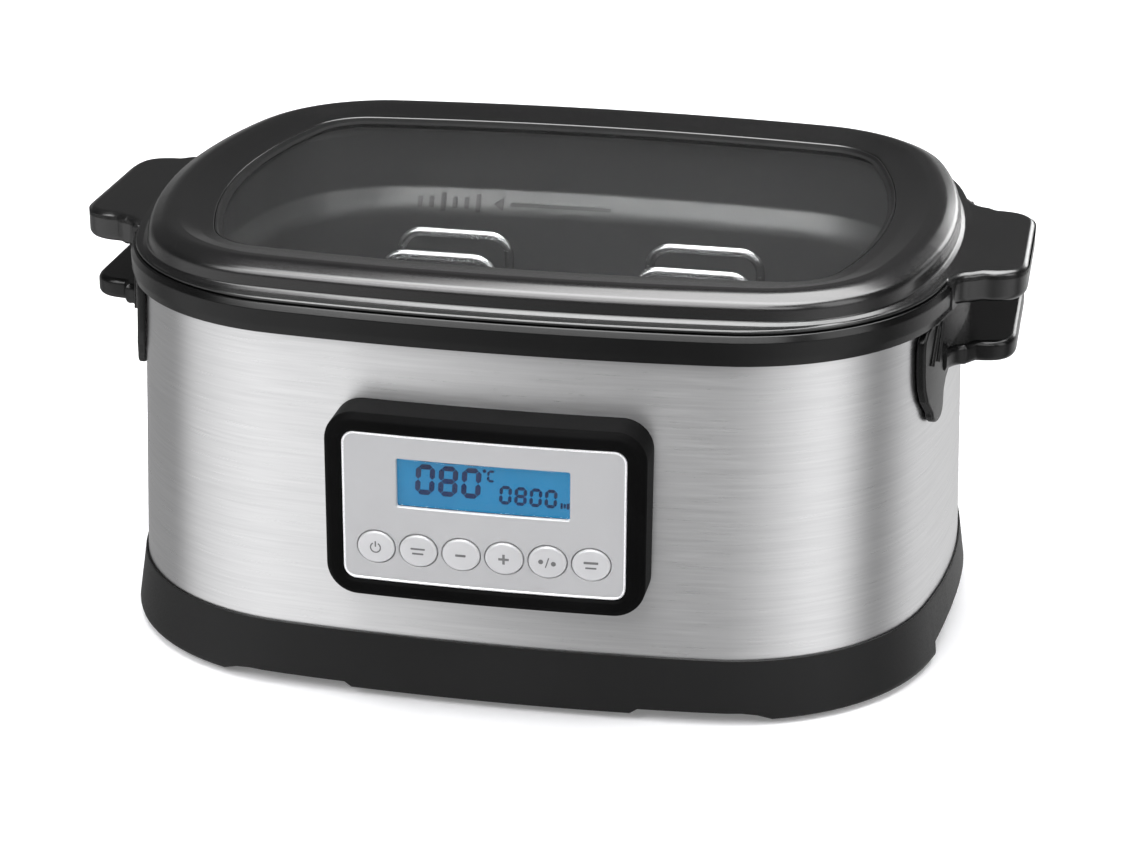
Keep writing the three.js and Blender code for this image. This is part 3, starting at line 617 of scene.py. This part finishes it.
def steel_shell():
    """Single brushed sheet with rolled hems and the panel's opening, thickened afterwards."""
    sill, head = PANEL_Z - OPENING["z"], PANEL_Z + OPENING["z"]
    zs = [24, 24.6, 27, 40, 50, sill, 74, 88, 102, head, 126, 138, 151, 156.6, 157.2]
    hems = [0.6, 0.1] + [0] * (len(zs) - 4) + [0.1, 0.6]
    loops = [plan_loop(shell_offset(z) - h, z) for z, h in zip(zs, hems)]
    points, faces = skin(loops, caps=False)
    kept = []
    for face in faces:
        x, y, z = points[list(face)].mean(0)
        if y < 0 and abs(x) < OPENING["x"] and abs(z - PANEL_Z) < OPENING["z"]:
            continue
        kept.append(face)
    return points, kept


shell = new_object("steel_body", *steel_shell())
thicken = shell.modifiers.new("sheet", "SOLIDIFY")
thicken.thickness = 1.0 * MM
thicken.offset = -1
thicken.use_even_offset = True
piece(shell, "housing", "brushed_steel", ["outer_shell"])

# ---------------------------------------------------------------- collar, gasket, pot
collar = plan_ring([
    (-4.1, 151, 0.3), (0.5, 151, 0.5), (1.2, 154.5, 3), (1.3, 160.6, 1.6), (0.1, 163.2, 0.8),
    (-1.4, 163.4, 0.4), (-3.2, 163.4, 0.3), (-3.6, 159.6, 0.3), (-14, 159.6, 0.3), (-14, 148, 0.5),
    (-11.5, 148, 0.5), (-11.5, 157.6, 0.5), (-4.1, 157.6, 0.3),
])
piece(new_object("top_collar", *collar), "housing", "black_plastic", ["rim_collar"])
gasket = plan_ring([(-5, 159.9, 0.3), (-5, 160.8, 0.4), (-13, 160.8, 0.4), (-13, 159.9, 0.3)])
piece(new_object("collar_gasket", *gasket), "housing", "silicone", ["pot_gasket"])

POT_INSIDE = rounded([
    (-62, 42), (-48, 42, 0), (-33, 43.8, 14), (-25.2, 51.5, 12), (-23.2, 64, 8), (-22.1, 123.5, 12),
    (-16.7, 132.6, 3.5), (-16.3, 158.5, 2), (-14.6, 162.6, 2), (-4, 162.6, 0.4),
    (-4, 161.1),
], closed=False, steps=6)
POT_OUTSIDE = rounded([
    (-4, 161.1), (-13.6, 161.1, 1.2), (-14.9, 157, 2), (-15.3, 131.4, 2), (-19.2, 127, 3),
    (-20.4, 121.6, 4), (-21.7, 64, 6), (-23.8, 50.5, 8), (-33, 42.4, 10), (-48, 40.6, 0), (-62, 40.6),
], closed=False, steps=4)
pot = skin([plan_loop(e, z, plan) for e, z, plan in POT_INSIDE + POT_OUTSIDE[1:]])
piece(new_object("pot", *pot), "housing", "nonstick_coating", ["inner_pot"])
LEVEL_Z = 126.5


def level_mark():
    """A level line with a pointer and short ticks on the shoulder of the pot's rear wall."""
    wall = sorted((z, e) for e, z, _ in POT_INSIDE if 100 < z < 140)
    heights, offsets = [w[0] for w in wall], [w[1] for w in wall]

    def on_wall(x, y, depth):
        z = LEVEL_Z + y
        wall_y = HALF_WIDTH + float(np.interp(z, heights, offsets)) - float(front_drop(x))
        return (x, wall_y - 0.15 - depth, z)

    marks = [rounded_rect(24, 0.8, 0.7, -23, 0, 3), [(-55, 0), (-50, 3), (-50, -3)]]
    marks += [rounded_rect(1.2, 4 if i % 3 == 0 else 2.4, 0.6, -95 + 5.5 * i, 0, 3) for i in range(7)]
    return flat_plate(
        "level_mark", marks, 0.5, 0.12, on_wall,
        [(0, x) for x in range(-80, 0, 8)] + [(1, y) for y in (-3, -2, -1, 0, 1, 2, 3)],
    )


piece(level_mark(), "housing", "print_faint")

# ---------------------------------------------------------------- lid
GRIP_REACH = 199.5


def wing_outline(reach, half_root, half_tip, radius):
    """Open outline of a grip seen from above, from one root fillet round the tip to the other."""
    points = []

    def curve(start, control, end, steps=9):
        for k in range(steps):
            t = k / steps
            points.append((
                (1 - t) ** 2 * start[0] + 2 * t * (1 - t) * control[0] + t * t * end[0],
                (1 - t) ** 2 * start[1] + 2 * t * (1 - t) * control[1] + t * t * end[1],
            ))

    root = half_root + 10
    foot, bend = wall_x(1.2, root), wall_x(1.2, half_root)
    curve((foot, -root), (bend + 0.8, -half_root - 0.6), (bend + 7, -half_root))
    curve((reach - radius, -half_tip), (reach, -half_tip), (reach, radius - half_tip))
    curve((reach, radius - half_tip), (reach, 0), (reach, half_tip - radius), 8)
    curve((reach, half_tip - radius), (reach, half_tip), (reach - radius, half_tip))
    points.append((reach - radius, half_tip))
    curve((bend + 7, half_root), (bend + 0.8, half_root + 0.6), (foot, root))
    points.append((foot, root))
    return np.array(points)


def wing(shape, z0, z1, edge, inner, z_step=None, inner_high=None):
    """A grip with rounded top and bottom edges and, from z_step up, a deeper root in the wall.
    Known fault of the lid's ears: the top edge's rows start below z_step and already use inner_high,
    and the inset of the edge rows carries the ends of the root through the wall."""
    outline = wing_outline(*shape)
    ahead = np.gradient(outline, axis=0)
    inward = np.column_stack([-ahead[:, 1], ahead[:, 0]])
    inward /= np.linalg.norm(inward, axis=1)[:, None]
    quarter = [math.pi / 2 * k / 5 for k in range(6)]
    rows = [(edge * (1 - math.sin(a)), z0 + edge * (1 - math.cos(a)), inner) for a in quarter]
    if z_step is not None:
        rows += [(0, z_step, inner), (0, z_step, inner_high)]
        inner = inner_high
    rows += [(edge * (1 - math.cos(a)), z1 - edge * (1 - math.sin(a)), inner) for a in quarter]
    loops = []
    for inset, z, depth in rows:
        outer = outline + inward * inset
        ys = np.linspace(outer[-1, 1], outer[0, 1], 16)
        back = np.array([(wall_x(depth, y), y) for y in ys])
        flat = np.vstack([outer, back])
        loops.append(np.column_stack([flat, np.full(len(flat), z)]))
    return skin(loops)


def turned_about(shape):
    points, faces = shape
    return points * [-1, -1, 1], faces


lid_ring = plan_ring([
    (-0.9, 163.7, 0.2), (-0.7, 164.6, 0.4), (-1.2, 165.2, 0.5), (-5.6, 165.5, 1.5, LID),
    (-7.6, 166.6, 1.2, LID), (-8.0, 173.0, 4, LID), (-15.4, 176.2, 9, LID),
    (-21, 175.8, 3, LID), (-30.5, 174.2, 3, WINDOW), (-36.4, 173.4, 0.8, WINDOW),
    (-37, 171.3, 0.3, WINDOW), (-32.5, 171.3, 0.2, WINDOW), (-32.5, 168, 0.3, WINDOW),
    (-30.2, 168, 0.3, WINDOW), (-28.5, 172.2, 2, WINDOW), (-12, 173.4, 3, LID), (-10.4, 163.7, 0.3, LID),
])
ear = wing((GRIP_REACH, 46, 43, 17), 152.2, 165.2, 3.2, 1.8, 163.7, -5.2)
piece(
    new_object("lid_rim", *merge(lid_ring, ear, turned_about(ear))), "lid", "lid_plastic", ["lid_frame"],
)
glass = plan_stack([
    (-70, 167.9), (-35, 167.9, 0, WINDOW), (-33.4, 167.9, 0, WINDOW), (-33, 168.3, 0.3, WINDOW),
    (-33, 170.4, 0.3, WINDOW), (-33.6, 171, 0.3, WINDOW), (-35, 171, 0, WINDOW), (-70, 171),
])
piece(new_object("lid_window", *glass), "lid", "lid_glass", ["lid_glass"])
# Black silicone bead round the window's edge, painted shade: it stands in for the shaded inner wall of
# the frame, seen as a dark line at the window's far side.
painted_shade_bead = plan_ring([
    (-36.6, 171.04, 0.1, WINDOW), (-36.8, 173.2, 0.2, WINDOW), (-37.4, 173.1, 0.2, WINDOW),
    (-38.2, 171.8, 1.0, WINDOW), (-40.2, 171.04, 0.1, WINDOW),
])
piece(new_object("lid_glass_bead_painted_shade", *painted_shade_bead), "lid", "silicone")
retainer = plan_ring([
    (-11.3, 166, 0.3, LID), (-11.3, 167.6, 0.3, LID), (-38, 167.6, 0.5, WINDOW),
    (-36.5, 166, 0.5, WINDOW),
])
piece(new_object("lid_clamp_ring", *retainer), "lid", "black_plastic", ["lid_retainer"])
seal = plan_ring([
    (-11, 165.7, 0.2, LID), (-15.6, 165.7, 0.3, LID), (-14.2, 164.2, 1, LID), (-13.4, 162.9, 0.4, LID),
    (-11.6, 162.9, 0.4, LID),
])
piece(new_object("lid_gasket", *seal), "lid", "silicone", ["lid_seal"])

# ---------------------------------------------------------------- side handles
HANDLE_PROUD = 3.8


def escutcheon_outline():
    """Plate on the shell's side: two rounded legs and a low arch between them, in Y and Z."""
    top = 150.7
    half = [
        (72, top), (75.5, 149), (77.7, 146), (78.5, 142), (78.5, 131), (77.8, 125.5), (75.5, 119.5),
    ]
    half += [
        (63.5 + 7 * math.cos(a), 114.5 + 7 * math.sin(a)) for a in np.radians(np.arange(-10, -181, -17))
    ]
    half += [(56, 118.5), (53.6, 122.5), (49, 125.5), (42, 126.6), (22, 126.6), (0, 126.6)]
    mirrored = [(-y, z) for y, z in half[::-1][1:]]
    return half + mirrored


def body_handle(name, node, side):
    def on_side(y, z, depth):
        proud = (HANDLE_PROUD + 0.3) / 2 + depth
        x = wall_x(float(shell_offset(z)) + proud, y)
        return (side * x, y, z)

    plate = flat_plate(
        name, [escutcheon_outline()], HANDLE_PROUD - 0.3, 1.1, on_side,
        [(0, y) for y in range(-78, 79, 6)] + [(1, z) for z in (112, 120, 132, 142)], steps=4,
    )
    grip = wing((196.5, 47, 42, 15), 126.2, 135, 2.6, -2.4)
    ribs = []
    for foot in (72.0, 66.0):
        for end in (-1, 1):
            path = []
            for z in np.linspace(134, 149, 9):
                y = foot - 0.42 * (z - 134)
                path.append((wall_x(float(shell_offset(z)) + HANDLE_PROUD + 0.1, y), end * y, z))
            ribs.append(tube(path, 1.1, sides=14))
    extra = merge(grip, *ribs)
    if side < 0:
        extra = turned_about(extra)
    addition = new_object(name + "_grip", *extra)
    bm = bmesh.new()
    bm.from_mesh(plate.data)
    bm.from_mesh(addition.data)
    bm.to_mesh(plate.data)
    bm.free()
    bpy.data.objects.remove(addition)
    finish_mesh(plate, 36)
    return piece(plate, "housing", "black_plastic", [node])


body_handle("grip_right", "handle_right", 1)
body_handle("grip_left", "handle_left", -1)

# ---------------------------------------------------------------- control panel
BEZEL = {"x": 64.1, "z": 38.7, "corner": 12.5, "lip": 7.3}
FASCIA = {"x": 56.4, "z": 31.0, "corner": 5.0}
KEY_NAMES = ("power", "mode", "minus", "plus", "unit", "start")
KEY_PITCH, KEY_Z, KEY_RX, KEY_RZ = 17.2, PANEL_Z - 16.8, 7.6, 6.7
LENS_Z = PANEL_Z + 11.2


def on_front(centre_z, middle):
    """Bends a plate drawn in X and height onto the bowed front, middle mm proud of the shell's foot."""
    def bend(x, y, depth):
        return (x, float(front_drop(x)) - HALF_WIDTH - middle - depth, centre_z + y)
    return bend


def panel_loop(half_w, half_h, radius, proud):
    outline = []
    corners = rounded_rect(half_w, half_h, radius, steps=12)
    for i, (x, z) in enumerate(corners):
        outline.append((x, z))
        nx, nz = corners[(i + 1) % len(corners)]
        gap = math.hypot(nx - x, nz - z)
        for k in range(1, int(gap // 6)):
            t = k / int(gap // 6)
            outline.append((x + (nx - x) * t, z + (nz - z) * t))
    return np.array([
        (x, float(front_drop(x)) - HALF_WIDTH - proud, PANEL_Z + z) for x, z in outline
    ])


def bezel():
    lip = BEZEL["lip"]
    profile = rounded([
        (0, -4.2), (0, 12.4, 2.4), (2.4, 14.73, 2.2), (lip - 1.2, 14.73, 1.0), (lip, 13.9, 0.6),
        (lip, 10.9, 0.2), (lip + 3.5, 10.9, 0.2), (lip + 3.5, 8.9, 0.2), (2.6, 8.9, 0.2), (2.6, -4.2),
    ], steps=5)
    return [
        panel_loop(BEZEL["x"] - inset, BEZEL["z"] - inset, max(BEZEL["corner"] - inset, 4.8), proud)
        for inset, proud, _ in profile
    ]


def resample(loop, size):
    """The loop walked round at equal steps from its first point."""
    closed = np.vstack([loop, loop[:1]])
    lengths = np.r_[0, np.cumsum(np.linalg.norm(np.diff(closed, axis=0), axis=1))]
    at = np.linspace(0, lengths[-1], size, endpoint=False)
    return np.column_stack([np.interp(at, lengths, closed[:, k]) for k in range(3)])


piece(
    new_object("panel_frame", *skin([resample(l, 260) for l in bezel()], ring=True)),
    "housing", "bezel_plastic", ["panel_bezel"],
)


def ellipse(cx, cy, rx, ry, steps=40):
    return [
        (cx + rx * math.cos(math.tau * k / steps), cy + ry * math.sin(math.tau * k / steps))
        for k in range(steps)
    ]


key_xs = [(i - 2.5) * KEY_PITCH for i in range(6)]
holes = [rounded_rect(34.5, 10.1, 0.9, 0, LENS_Z - PANEL_Z, 4)]
holes += [ellipse(x, KEY_Z - PANEL_Z, KEY_RX + 0.25, KEY_RZ + 0.25) for x in key_xs]
columns = [(0, x) for x in range(-50, 51, 5)]
fascia = flat_plate(
    "panel_face", [rounded_rect(FASCIA["x"], FASCIA["z"], FASCIA["corner"]), *holes], 2.2, 0.55,
    on_front(PANEL_Z, 12.3), columns, steps=3,
)
piece(fascia, "housing", "silver_fascia", ["panel_fascia"])
# A raised border round the fascia. Its near-white colour is partly the border's own colour and partly
# painted highlight along the fascia's edge.
border_with_painted_highlight = flat_plate(
    "panel_border_painted_highlight",
    [rounded_rect(FASCIA["x"] + 0.25, FASCIA["z"] + 0.25, FASCIA["corner"] + 0.2),
     rounded_rect(FASCIA["x"] - 0.8, FASCIA["z"] - 0.8, FASCIA["corner"] - 0.8)],
    1.4, 0.45, on_front(PANEL_Z, 12.95), columns, steps=3,
)
piece(border_with_painted_highlight, "housing", "bright_trim")
lens = flat_plate(
    "display_window", [rounded_rect(34.2, 9.8, 0.8, steps=4)], 1.5, 0.3, on_front(LENS_Z, 12.15), columns,
)
piece(lens, "housing", "clear_lens", ["display_lens"])

lcd = flat_plate(
    "display_module", [rounded_rect(37, 12.5, 1.2, steps=4)], 6.4, 0.5,
    lambda x, y, depth: (x, -HALF_WIDTH - 6.8 - depth, LENS_Z + y), columns,
)
piece(lcd, "housing", "display_blue", ["lcd_module"])

SEGMENTS = {"0": "abcdef", "8": "abcdefg", "C": "adef"}


def segment(kind, w, h, t):
    """One bar of a seven-segment digit, pointed at both ends, about the digit's centre."""
    gap = t * 0.07
    flat = {"a": h / 2, "g": 0, "d": -h / 2}
    if kind in flat:
        y = flat[kind] - (t / 2 if kind == "a" else -t / 2 if kind == "d" else 0)
        x = w / 2 - t / 2 - gap
        return [(-x, y), (-x + t / 2, y + t / 2), (x - t / 2, y + t / 2), (x, y),
                (x - t / 2, y - t / 2), (-x + t / 2, y - t / 2)]
    x = (w / 2 - t / 2) * (1 if kind in "bc" else -1)
    low, high = (0, h / 2 - t / 2) if kind in "bf" else (-h / 2 + t / 2, 0)
    low, high = low + gap, high - gap
    return [(x, low), (x + t / 2, low + t / 2), (x + t / 2, high - t / 2), (x, high),
            (x - t / 2, high - t / 2), (x - t / 2, low + t / 2)]


def digits(text, cx, cy, w, h, t, pitch):
    bars = []
    for i, character in enumerate(text):
        x0 = cx + (i - (len(text) - 1) / 2) * pitch
        for kind in SEGMENTS[character]:
            bars.append([
                (x0 + x + 0.06 * y, cy + y) for x, y in segment(kind, w, h, t)
            ])
    return bars


shown = digits("080", -14.2, 1.4, 7.7, 12.8, 2.1, 9.2)
shown += digits("C", 3.0, 5.0, 3.4, 5.0, 0.95, 4.0) + [ellipse(0.3, 7.0, 0.75, 0.75, 12)]
shown += digits("0800", 17.6, -2.4, 4.9, 7.8, 1.35, 6.0)
shown += [
    rounded_rect(0.45, h, 0.3, 30.8 + 1.2 * i, -5.0, 3) for i, h in enumerate((1.2, 0.9, 1.2))
]
numerals = flat_plate(
    "display_digits", shown, 0.16, 0.03,
    lambda x, y, depth: (x, -HALF_WIDTH - 10.1 - depth, LENS_Z + y),
)
piece(numerals, "housing", "print_navy")


def icon(name):
    """Flat outlines of a key's sign about its centre."""
    def bar(w, h, x=0.0, y=0.0):
        return rounded_rect(w, h, min(w, h) * 0.5, x, y, 3)

    if name == "power":
        outer = [(2.3 * math.cos(a), 2.3 * math.sin(a)) for a in np.radians(np.arange(120, 421, 12))]
        inner = [(1.75 * math.cos(a), 1.75 * math.sin(a)) for a in np.radians(np.arange(420, 119, -12))]
        return [outer + inner, bar(0.3, 1.2, 0, 1.5)]
    if name == "mode":
        return [bar(2.9, 0.38, 0, 1.1), bar(2.3, 0.38, 0, -0.9)]
    if name == "minus":
        return [bar(2.1, 0.5)]
    if name == "plus":
        t, r = 0.5, 2.1
        return [[(t, t), (t, r), (-t, r), (-t, t), (-r, t), (-r, -t), (-t, -t), (-t, -r), (t, -r),
                 (t, -t), (r, -t), (r, t)]]
    if name == "unit":
        slash = [(-0.9, -2.1), (-0.4, -2.1), (0.9, 2.1), (0.4, 2.1)]
        return [slash, ellipse(-2.5, 0.3, 1.0, 1.0, 16), ellipse(2.5, -0.3, 1.0, 1.0, 16)]
    return [bar(2.9, 0.5, 0, 1.2), bar(2.2, 0.36, 0, -1.0)]


def key(name, x):
    """A domed elliptical key cap with its flange, tilted square to the bowed front."""
    rows = [
        (1.09, 9.3), (1.09, 10.5), (1.0, 10.5), (1.0, 13.1), (0.992, 13.5), (0.965, 13.9), (0.92, 14.17),
        (0.85, 14.33), (0.72, 14.42), (0.5, 14.47), (0.25, 14.49), (0.03, 14.5),
    ]
    angles = np.arange(56) * math.tau / 56
    loops = [
        np.column_stack([
            KEY_RX * s * np.cos(angles), np.full(56, -proud), KEY_RZ * s * np.sin(angles),
        ]) for s, proud in rows
    ]
    tilt = math.asin(x / LONG_R)
    pivot = 12.3

    def place(p):
        px, py, pz = p[0], p[1] + pivot, p[2]
        return (
            px * math.cos(tilt) - py * math.sin(tilt) + x,
            px * math.sin(tilt) + py * math.cos(tilt) + float(front_drop(x)) - HALF_WIDTH - pivot,
            pz + KEY_Z,
        )

    points, faces = skin(loops)
    cap = new_object(f"key_cap_{name}", [place(p) for p in points], faces, 50)
    piece(cap, "key_" + name, "silver_key", ["button_" + name])
    sign = flat_plate(
        f"key_sign_{name}", icon(name), 0.14, 0.03, lambda u, v, d: place((u, -14.49 - d, v)),
    )
    piece(sign, "key_" + name, "print_dark")


for name, x in zip(KEY_NAMES, key_xs):
    key(name, x)

# ---------------------------------------------------------------- pouch rack
ring_lo, ring_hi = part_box("rack_ring")
RACK_X = (ring_lo.x + ring_hi.x) / 2 / MM
WIRE = 2.0
# known fault: this is 0.27 mm low, because the faceted wire's top is lower than a round wire's
RACK_Z = ring_hi.z / MM - WIRE
LOOP = {"top": 144.5, "half": 24.0, "corner": 9.0, "column": 55.0, "row": 16.0}


def weld(x, y, z, axis):
    """A small fillet of weld metal round the crossing of two wires, long along axis."""
    points, faces = turned([
        (0, -2.6), (1.5, -2.3, 0.6), (2.2, -0.8, 0.8), (2.2, 0.8, 0.8), (1.5, 2.3, 0.6), (0, 2.6),
    ], 14, 2)
    if axis == "x":
        points = points[:, [2, 1, 0]]
    if axis == "y":
        points = points[:, [0, 2, 1]]
    return points * 0.98 + [x, y, z], faces


def rack_base():
    z = RACK_Z
    corners = [(-110, -76, z), (110, -76, z), (110, 76, z), (-110, 76, z)]
    shapes = [tube(rounded_path(corners, 24, 10, closed=True), WIRE, closed=True)]
    for y in (-30, 30):
        shapes.append(tube([(x, y, z) for x in np.linspace(-109.4, 109.4, 12)], WIRE))
        shapes += [weld(side * 109, y, z, "x") for side in (-1, 1)]
    points, faces = merge(*shapes)
    return points + [RACK_X, 0, 0], faces


piece(new_object("rack_base", *rack_base()), "rack", "polished_wire", ["rack_ring"])


def rack_loops(column):
    foot_z = RACK_Z + 2 * WIRE + 0.3
    half, top = LOOP["half"], LOOP["top"]
    shapes = []
    for row in (-LOOP["row"], LOOP["row"]):
        corners = [(-half, row, foot_z), (-half, row, top), (half, row, top), (half, row, foot_z)]
        shapes.append(tube(rounded_path(corners, LOOP["corner"], 10), WIRE))
        shapes += [weld(side * half, row, foot_z + 0.4, "z") for side in (-1, 1)]
    for side in (-1, 1):
        shapes.append(tube([(side * half, y, foot_z) for y in np.linspace(-78, 78, 12)], WIRE))
    points, faces = merge(*shapes)
    return points + [RACK_X + column * LOOP["column"], 0, 0], faces


piece(new_object("rack_loops_left", *rack_loops(-1)), "rack", "polished_wire", ["rack_divider_left"])
piece(new_object("rack_loops_right", *rack_loops(1)), "rack", "polished_wire", ["rack_divider_right"])

# ---------------------------------------------------------------- camera
CAMERA_AT = Vector((0.2373, -1.1940, 0.5533))
LOOK_AT = Vector((0.00492, 0.0051, 0.0665))
ROLL = math.radians(0.39)
ahead = (LOOK_AT - CAMERA_AT).normalized()
right = ahead.cross(Vector((0, 0, 1))).normalized()
up = right.cross(ahead)
tilted_right = right * math.cos(ROLL) + up * math.sin(ROLL)
tilted_up = up * math.cos(ROLL) - right * math.sin(ROLL)
lens_data = bpy.data.cameras.new("camera")
lens_data.lens = 95.0
lens_data.sensor_width = 36.0
lens_data.clip_start, lens_data.clip_end = 0.05, 50
camera = bpy.data.objects.new("camera", lens_data)
bpy.context.scene.collection.objects.link(camera)
turn = Matrix((tilted_right, tilted_up, -ahead)).transposed().to_4x4()
camera.matrix_world = Matrix.Translation(CAMERA_AT) @ turn
bpy.context.scene.camera = camera

# ---------------------------------------------------------------- floor and light
def card(name, centre, target, width, height):
    """A flat rectangle that faces target."""
    mesh = bpy.data.meshes.new(name)
    w, h = width / 2, height / 2
    mesh.from_pydata([(-w, -h, 0), (w, -h, 0), (w, h, 0), (-w, h, 0)], [], [(0, 1, 2, 3)])
    obj = bpy.data.objects.new(name, mesh)
    bpy.context.scene.collection.objects.link(obj)
    facing = (Vector(target) - Vector(centre)).to_track_quat("Z", "Y")
    obj.matrix_world = Matrix.Translation(centre) @ facing.to_matrix().to_4x4()
    return obj


FLOOR_GLOW = 0.18
FLOOR_SIDE = 14
floor = card("floor", (0, 0, 0), (0, 0, 1), FLOOR_SIDE, FLOOR_SIDE)
floor.visible_glossy = False
floor.data.materials.append(finish(
    "floor_paper", grey(0.90), grey(0.92), (0.75, 0.85), 3, 260, (0.02, 0.1), specular=0.15,
    glow=FLOOR_GLOW,
))
paper = floor.active_material.node_tree.nodes["Principled BSDF"]
paper.inputs["Emission Color"].default_value = (1, 1, 1, 1)


def lamp(name, centre, target, size, power):
    """An area lamp that faces target and that the camera does not see."""
    data = bpy.data.lights.new(name, "AREA")
    data.shape = "RECTANGLE"
    data.size, data.size_y = size
    data.energy = power
    obj = bpy.data.objects.new(name, data)
    bpy.context.scene.collection.objects.link(obj)
    facing = (Vector(target) - Vector(centre)).to_track_quat("-Z", "Y")
    obj.matrix_world = Matrix.Translation(centre) @ facing.to_matrix().to_4x4()
    obj.visible_camera = False
    return obj


lamp("key_light", (-1.3, -1.5, 1.7), (0, 0, 0.1), (1.4, 1.4), 36)
lamp("fill_light", (1.7, -0.7, 1.2), (0, 0, 0.1), (1.0, 1.4), 16)
lamp("top_light", (0.0, -0.1, 1.8), (0, 0, 0.1), (1.6, 0.8), 22)
sheen = lamp("overhead_sheen", (0.1, -0.1, 1.3), (0, -0.05, 0.15), (2.2, 1.1), 74)
sheen.visible_diffuse = False
front_sheen = lamp("front_sheen", (0.15, -1.35, 1.05), (0, 0, 0.15), (1.8, 0.5), 16)
front_sheen.visible_diffuse = False
edge_sheen = lamp("edge_sheen", (0.66, 1.45, 0.42), (0.1, 0, 0.16), (0.5, 0.4), 3.2)
edge_sheen.visible_diffuse = False
wash = lamp("floor_wash", (0.0, 1.6, 2.4), (0, 1.3, 0), (3.0, 2.0), 100)
wash.visible_glossy = False

# brightness of the soft boxes round the object, by compass angle from the front
SOFT_BOXES = [
    (-156, 0.43), (-112, 0.43), (-97, 0.45), (-90, 0.74), (-83, 1.0), (-60, 1.27), (-27, 1.26),
    (-20, 1.0), (-13, 0.66), (-3, 0.44), (12, 0.55), (25, 0.7), (45, 1.12), (62, 1.28),
    (75, 1.08), (92, 0.44), (104, 0.46), (122, 0.88), (142, 0.96), (170, 0.75),
]
CEILING = 0.09
BRIGHTEST = 1.3


def studio_world():
    """Soft boxes from the horizon down, joined without a seam, under a dim even ceiling."""
    world = bpy.data.worlds.new("studio")
    bpy.context.scene.world = world
    world.use_nodes = True
    nodes, links = world.node_tree.nodes, world.node_tree.links
    place = nodes.new("ShaderNodeTexCoord")
    round_about = nodes.new("ShaderNodeTexGradient")
    round_about.gradient_type = "RADIAL"
    boxes = nodes.new("ShaderNodeValToRGB")
    boxes.color_ramp.interpolation = "CARDINAL"
    stops = sorted(((0.25 + angle / 360) % 1, level) for angle, level in SOFT_BOXES)
    stops.append((1.0, stops[0][1]))
    for i, (position, level) in enumerate(stops):
        stop = boxes.color_ramp.elements[i] if i < 2 else boxes.color_ramp.elements.new(position)
        stop.position = position
        share = level / BRIGHTEST
        stop.color = (share, share, share, 1)
    height = nodes.new("ShaderNodeSeparateXYZ")
    rise = nodes.new("ShaderNodeMapRange")
    rise.inputs["From Min"].default_value = -0.05
    rise.inputs["From Max"].default_value = 0.22
    mix = nodes.new("ShaderNodeMixRGB")
    mix.inputs["Color2"].default_value = (*[CEILING / BRIGHTEST] * 3, 1)
    nodes["Background"].inputs["Strength"].default_value = BRIGHTEST
    links.new(place.outputs["Generated"], round_about.inputs["Vector"])
    links.new(round_about.outputs["Fac"], boxes.inputs["Fac"])
    links.new(place.outputs["Generated"], height.inputs["Vector"])
    links.new(height.outputs["Z"], rise.inputs["Value"])
    links.new(rise.outputs["Result"], mix.inputs["Fac"])
    links.new(boxes.outputs["Color"], mix.inputs["Color1"])
    links.new(mix.outputs["Color"], nodes["Background"].inputs["Color"])


studio_world()
bpy.context.scene.view_settings.view_transform = "Standard"
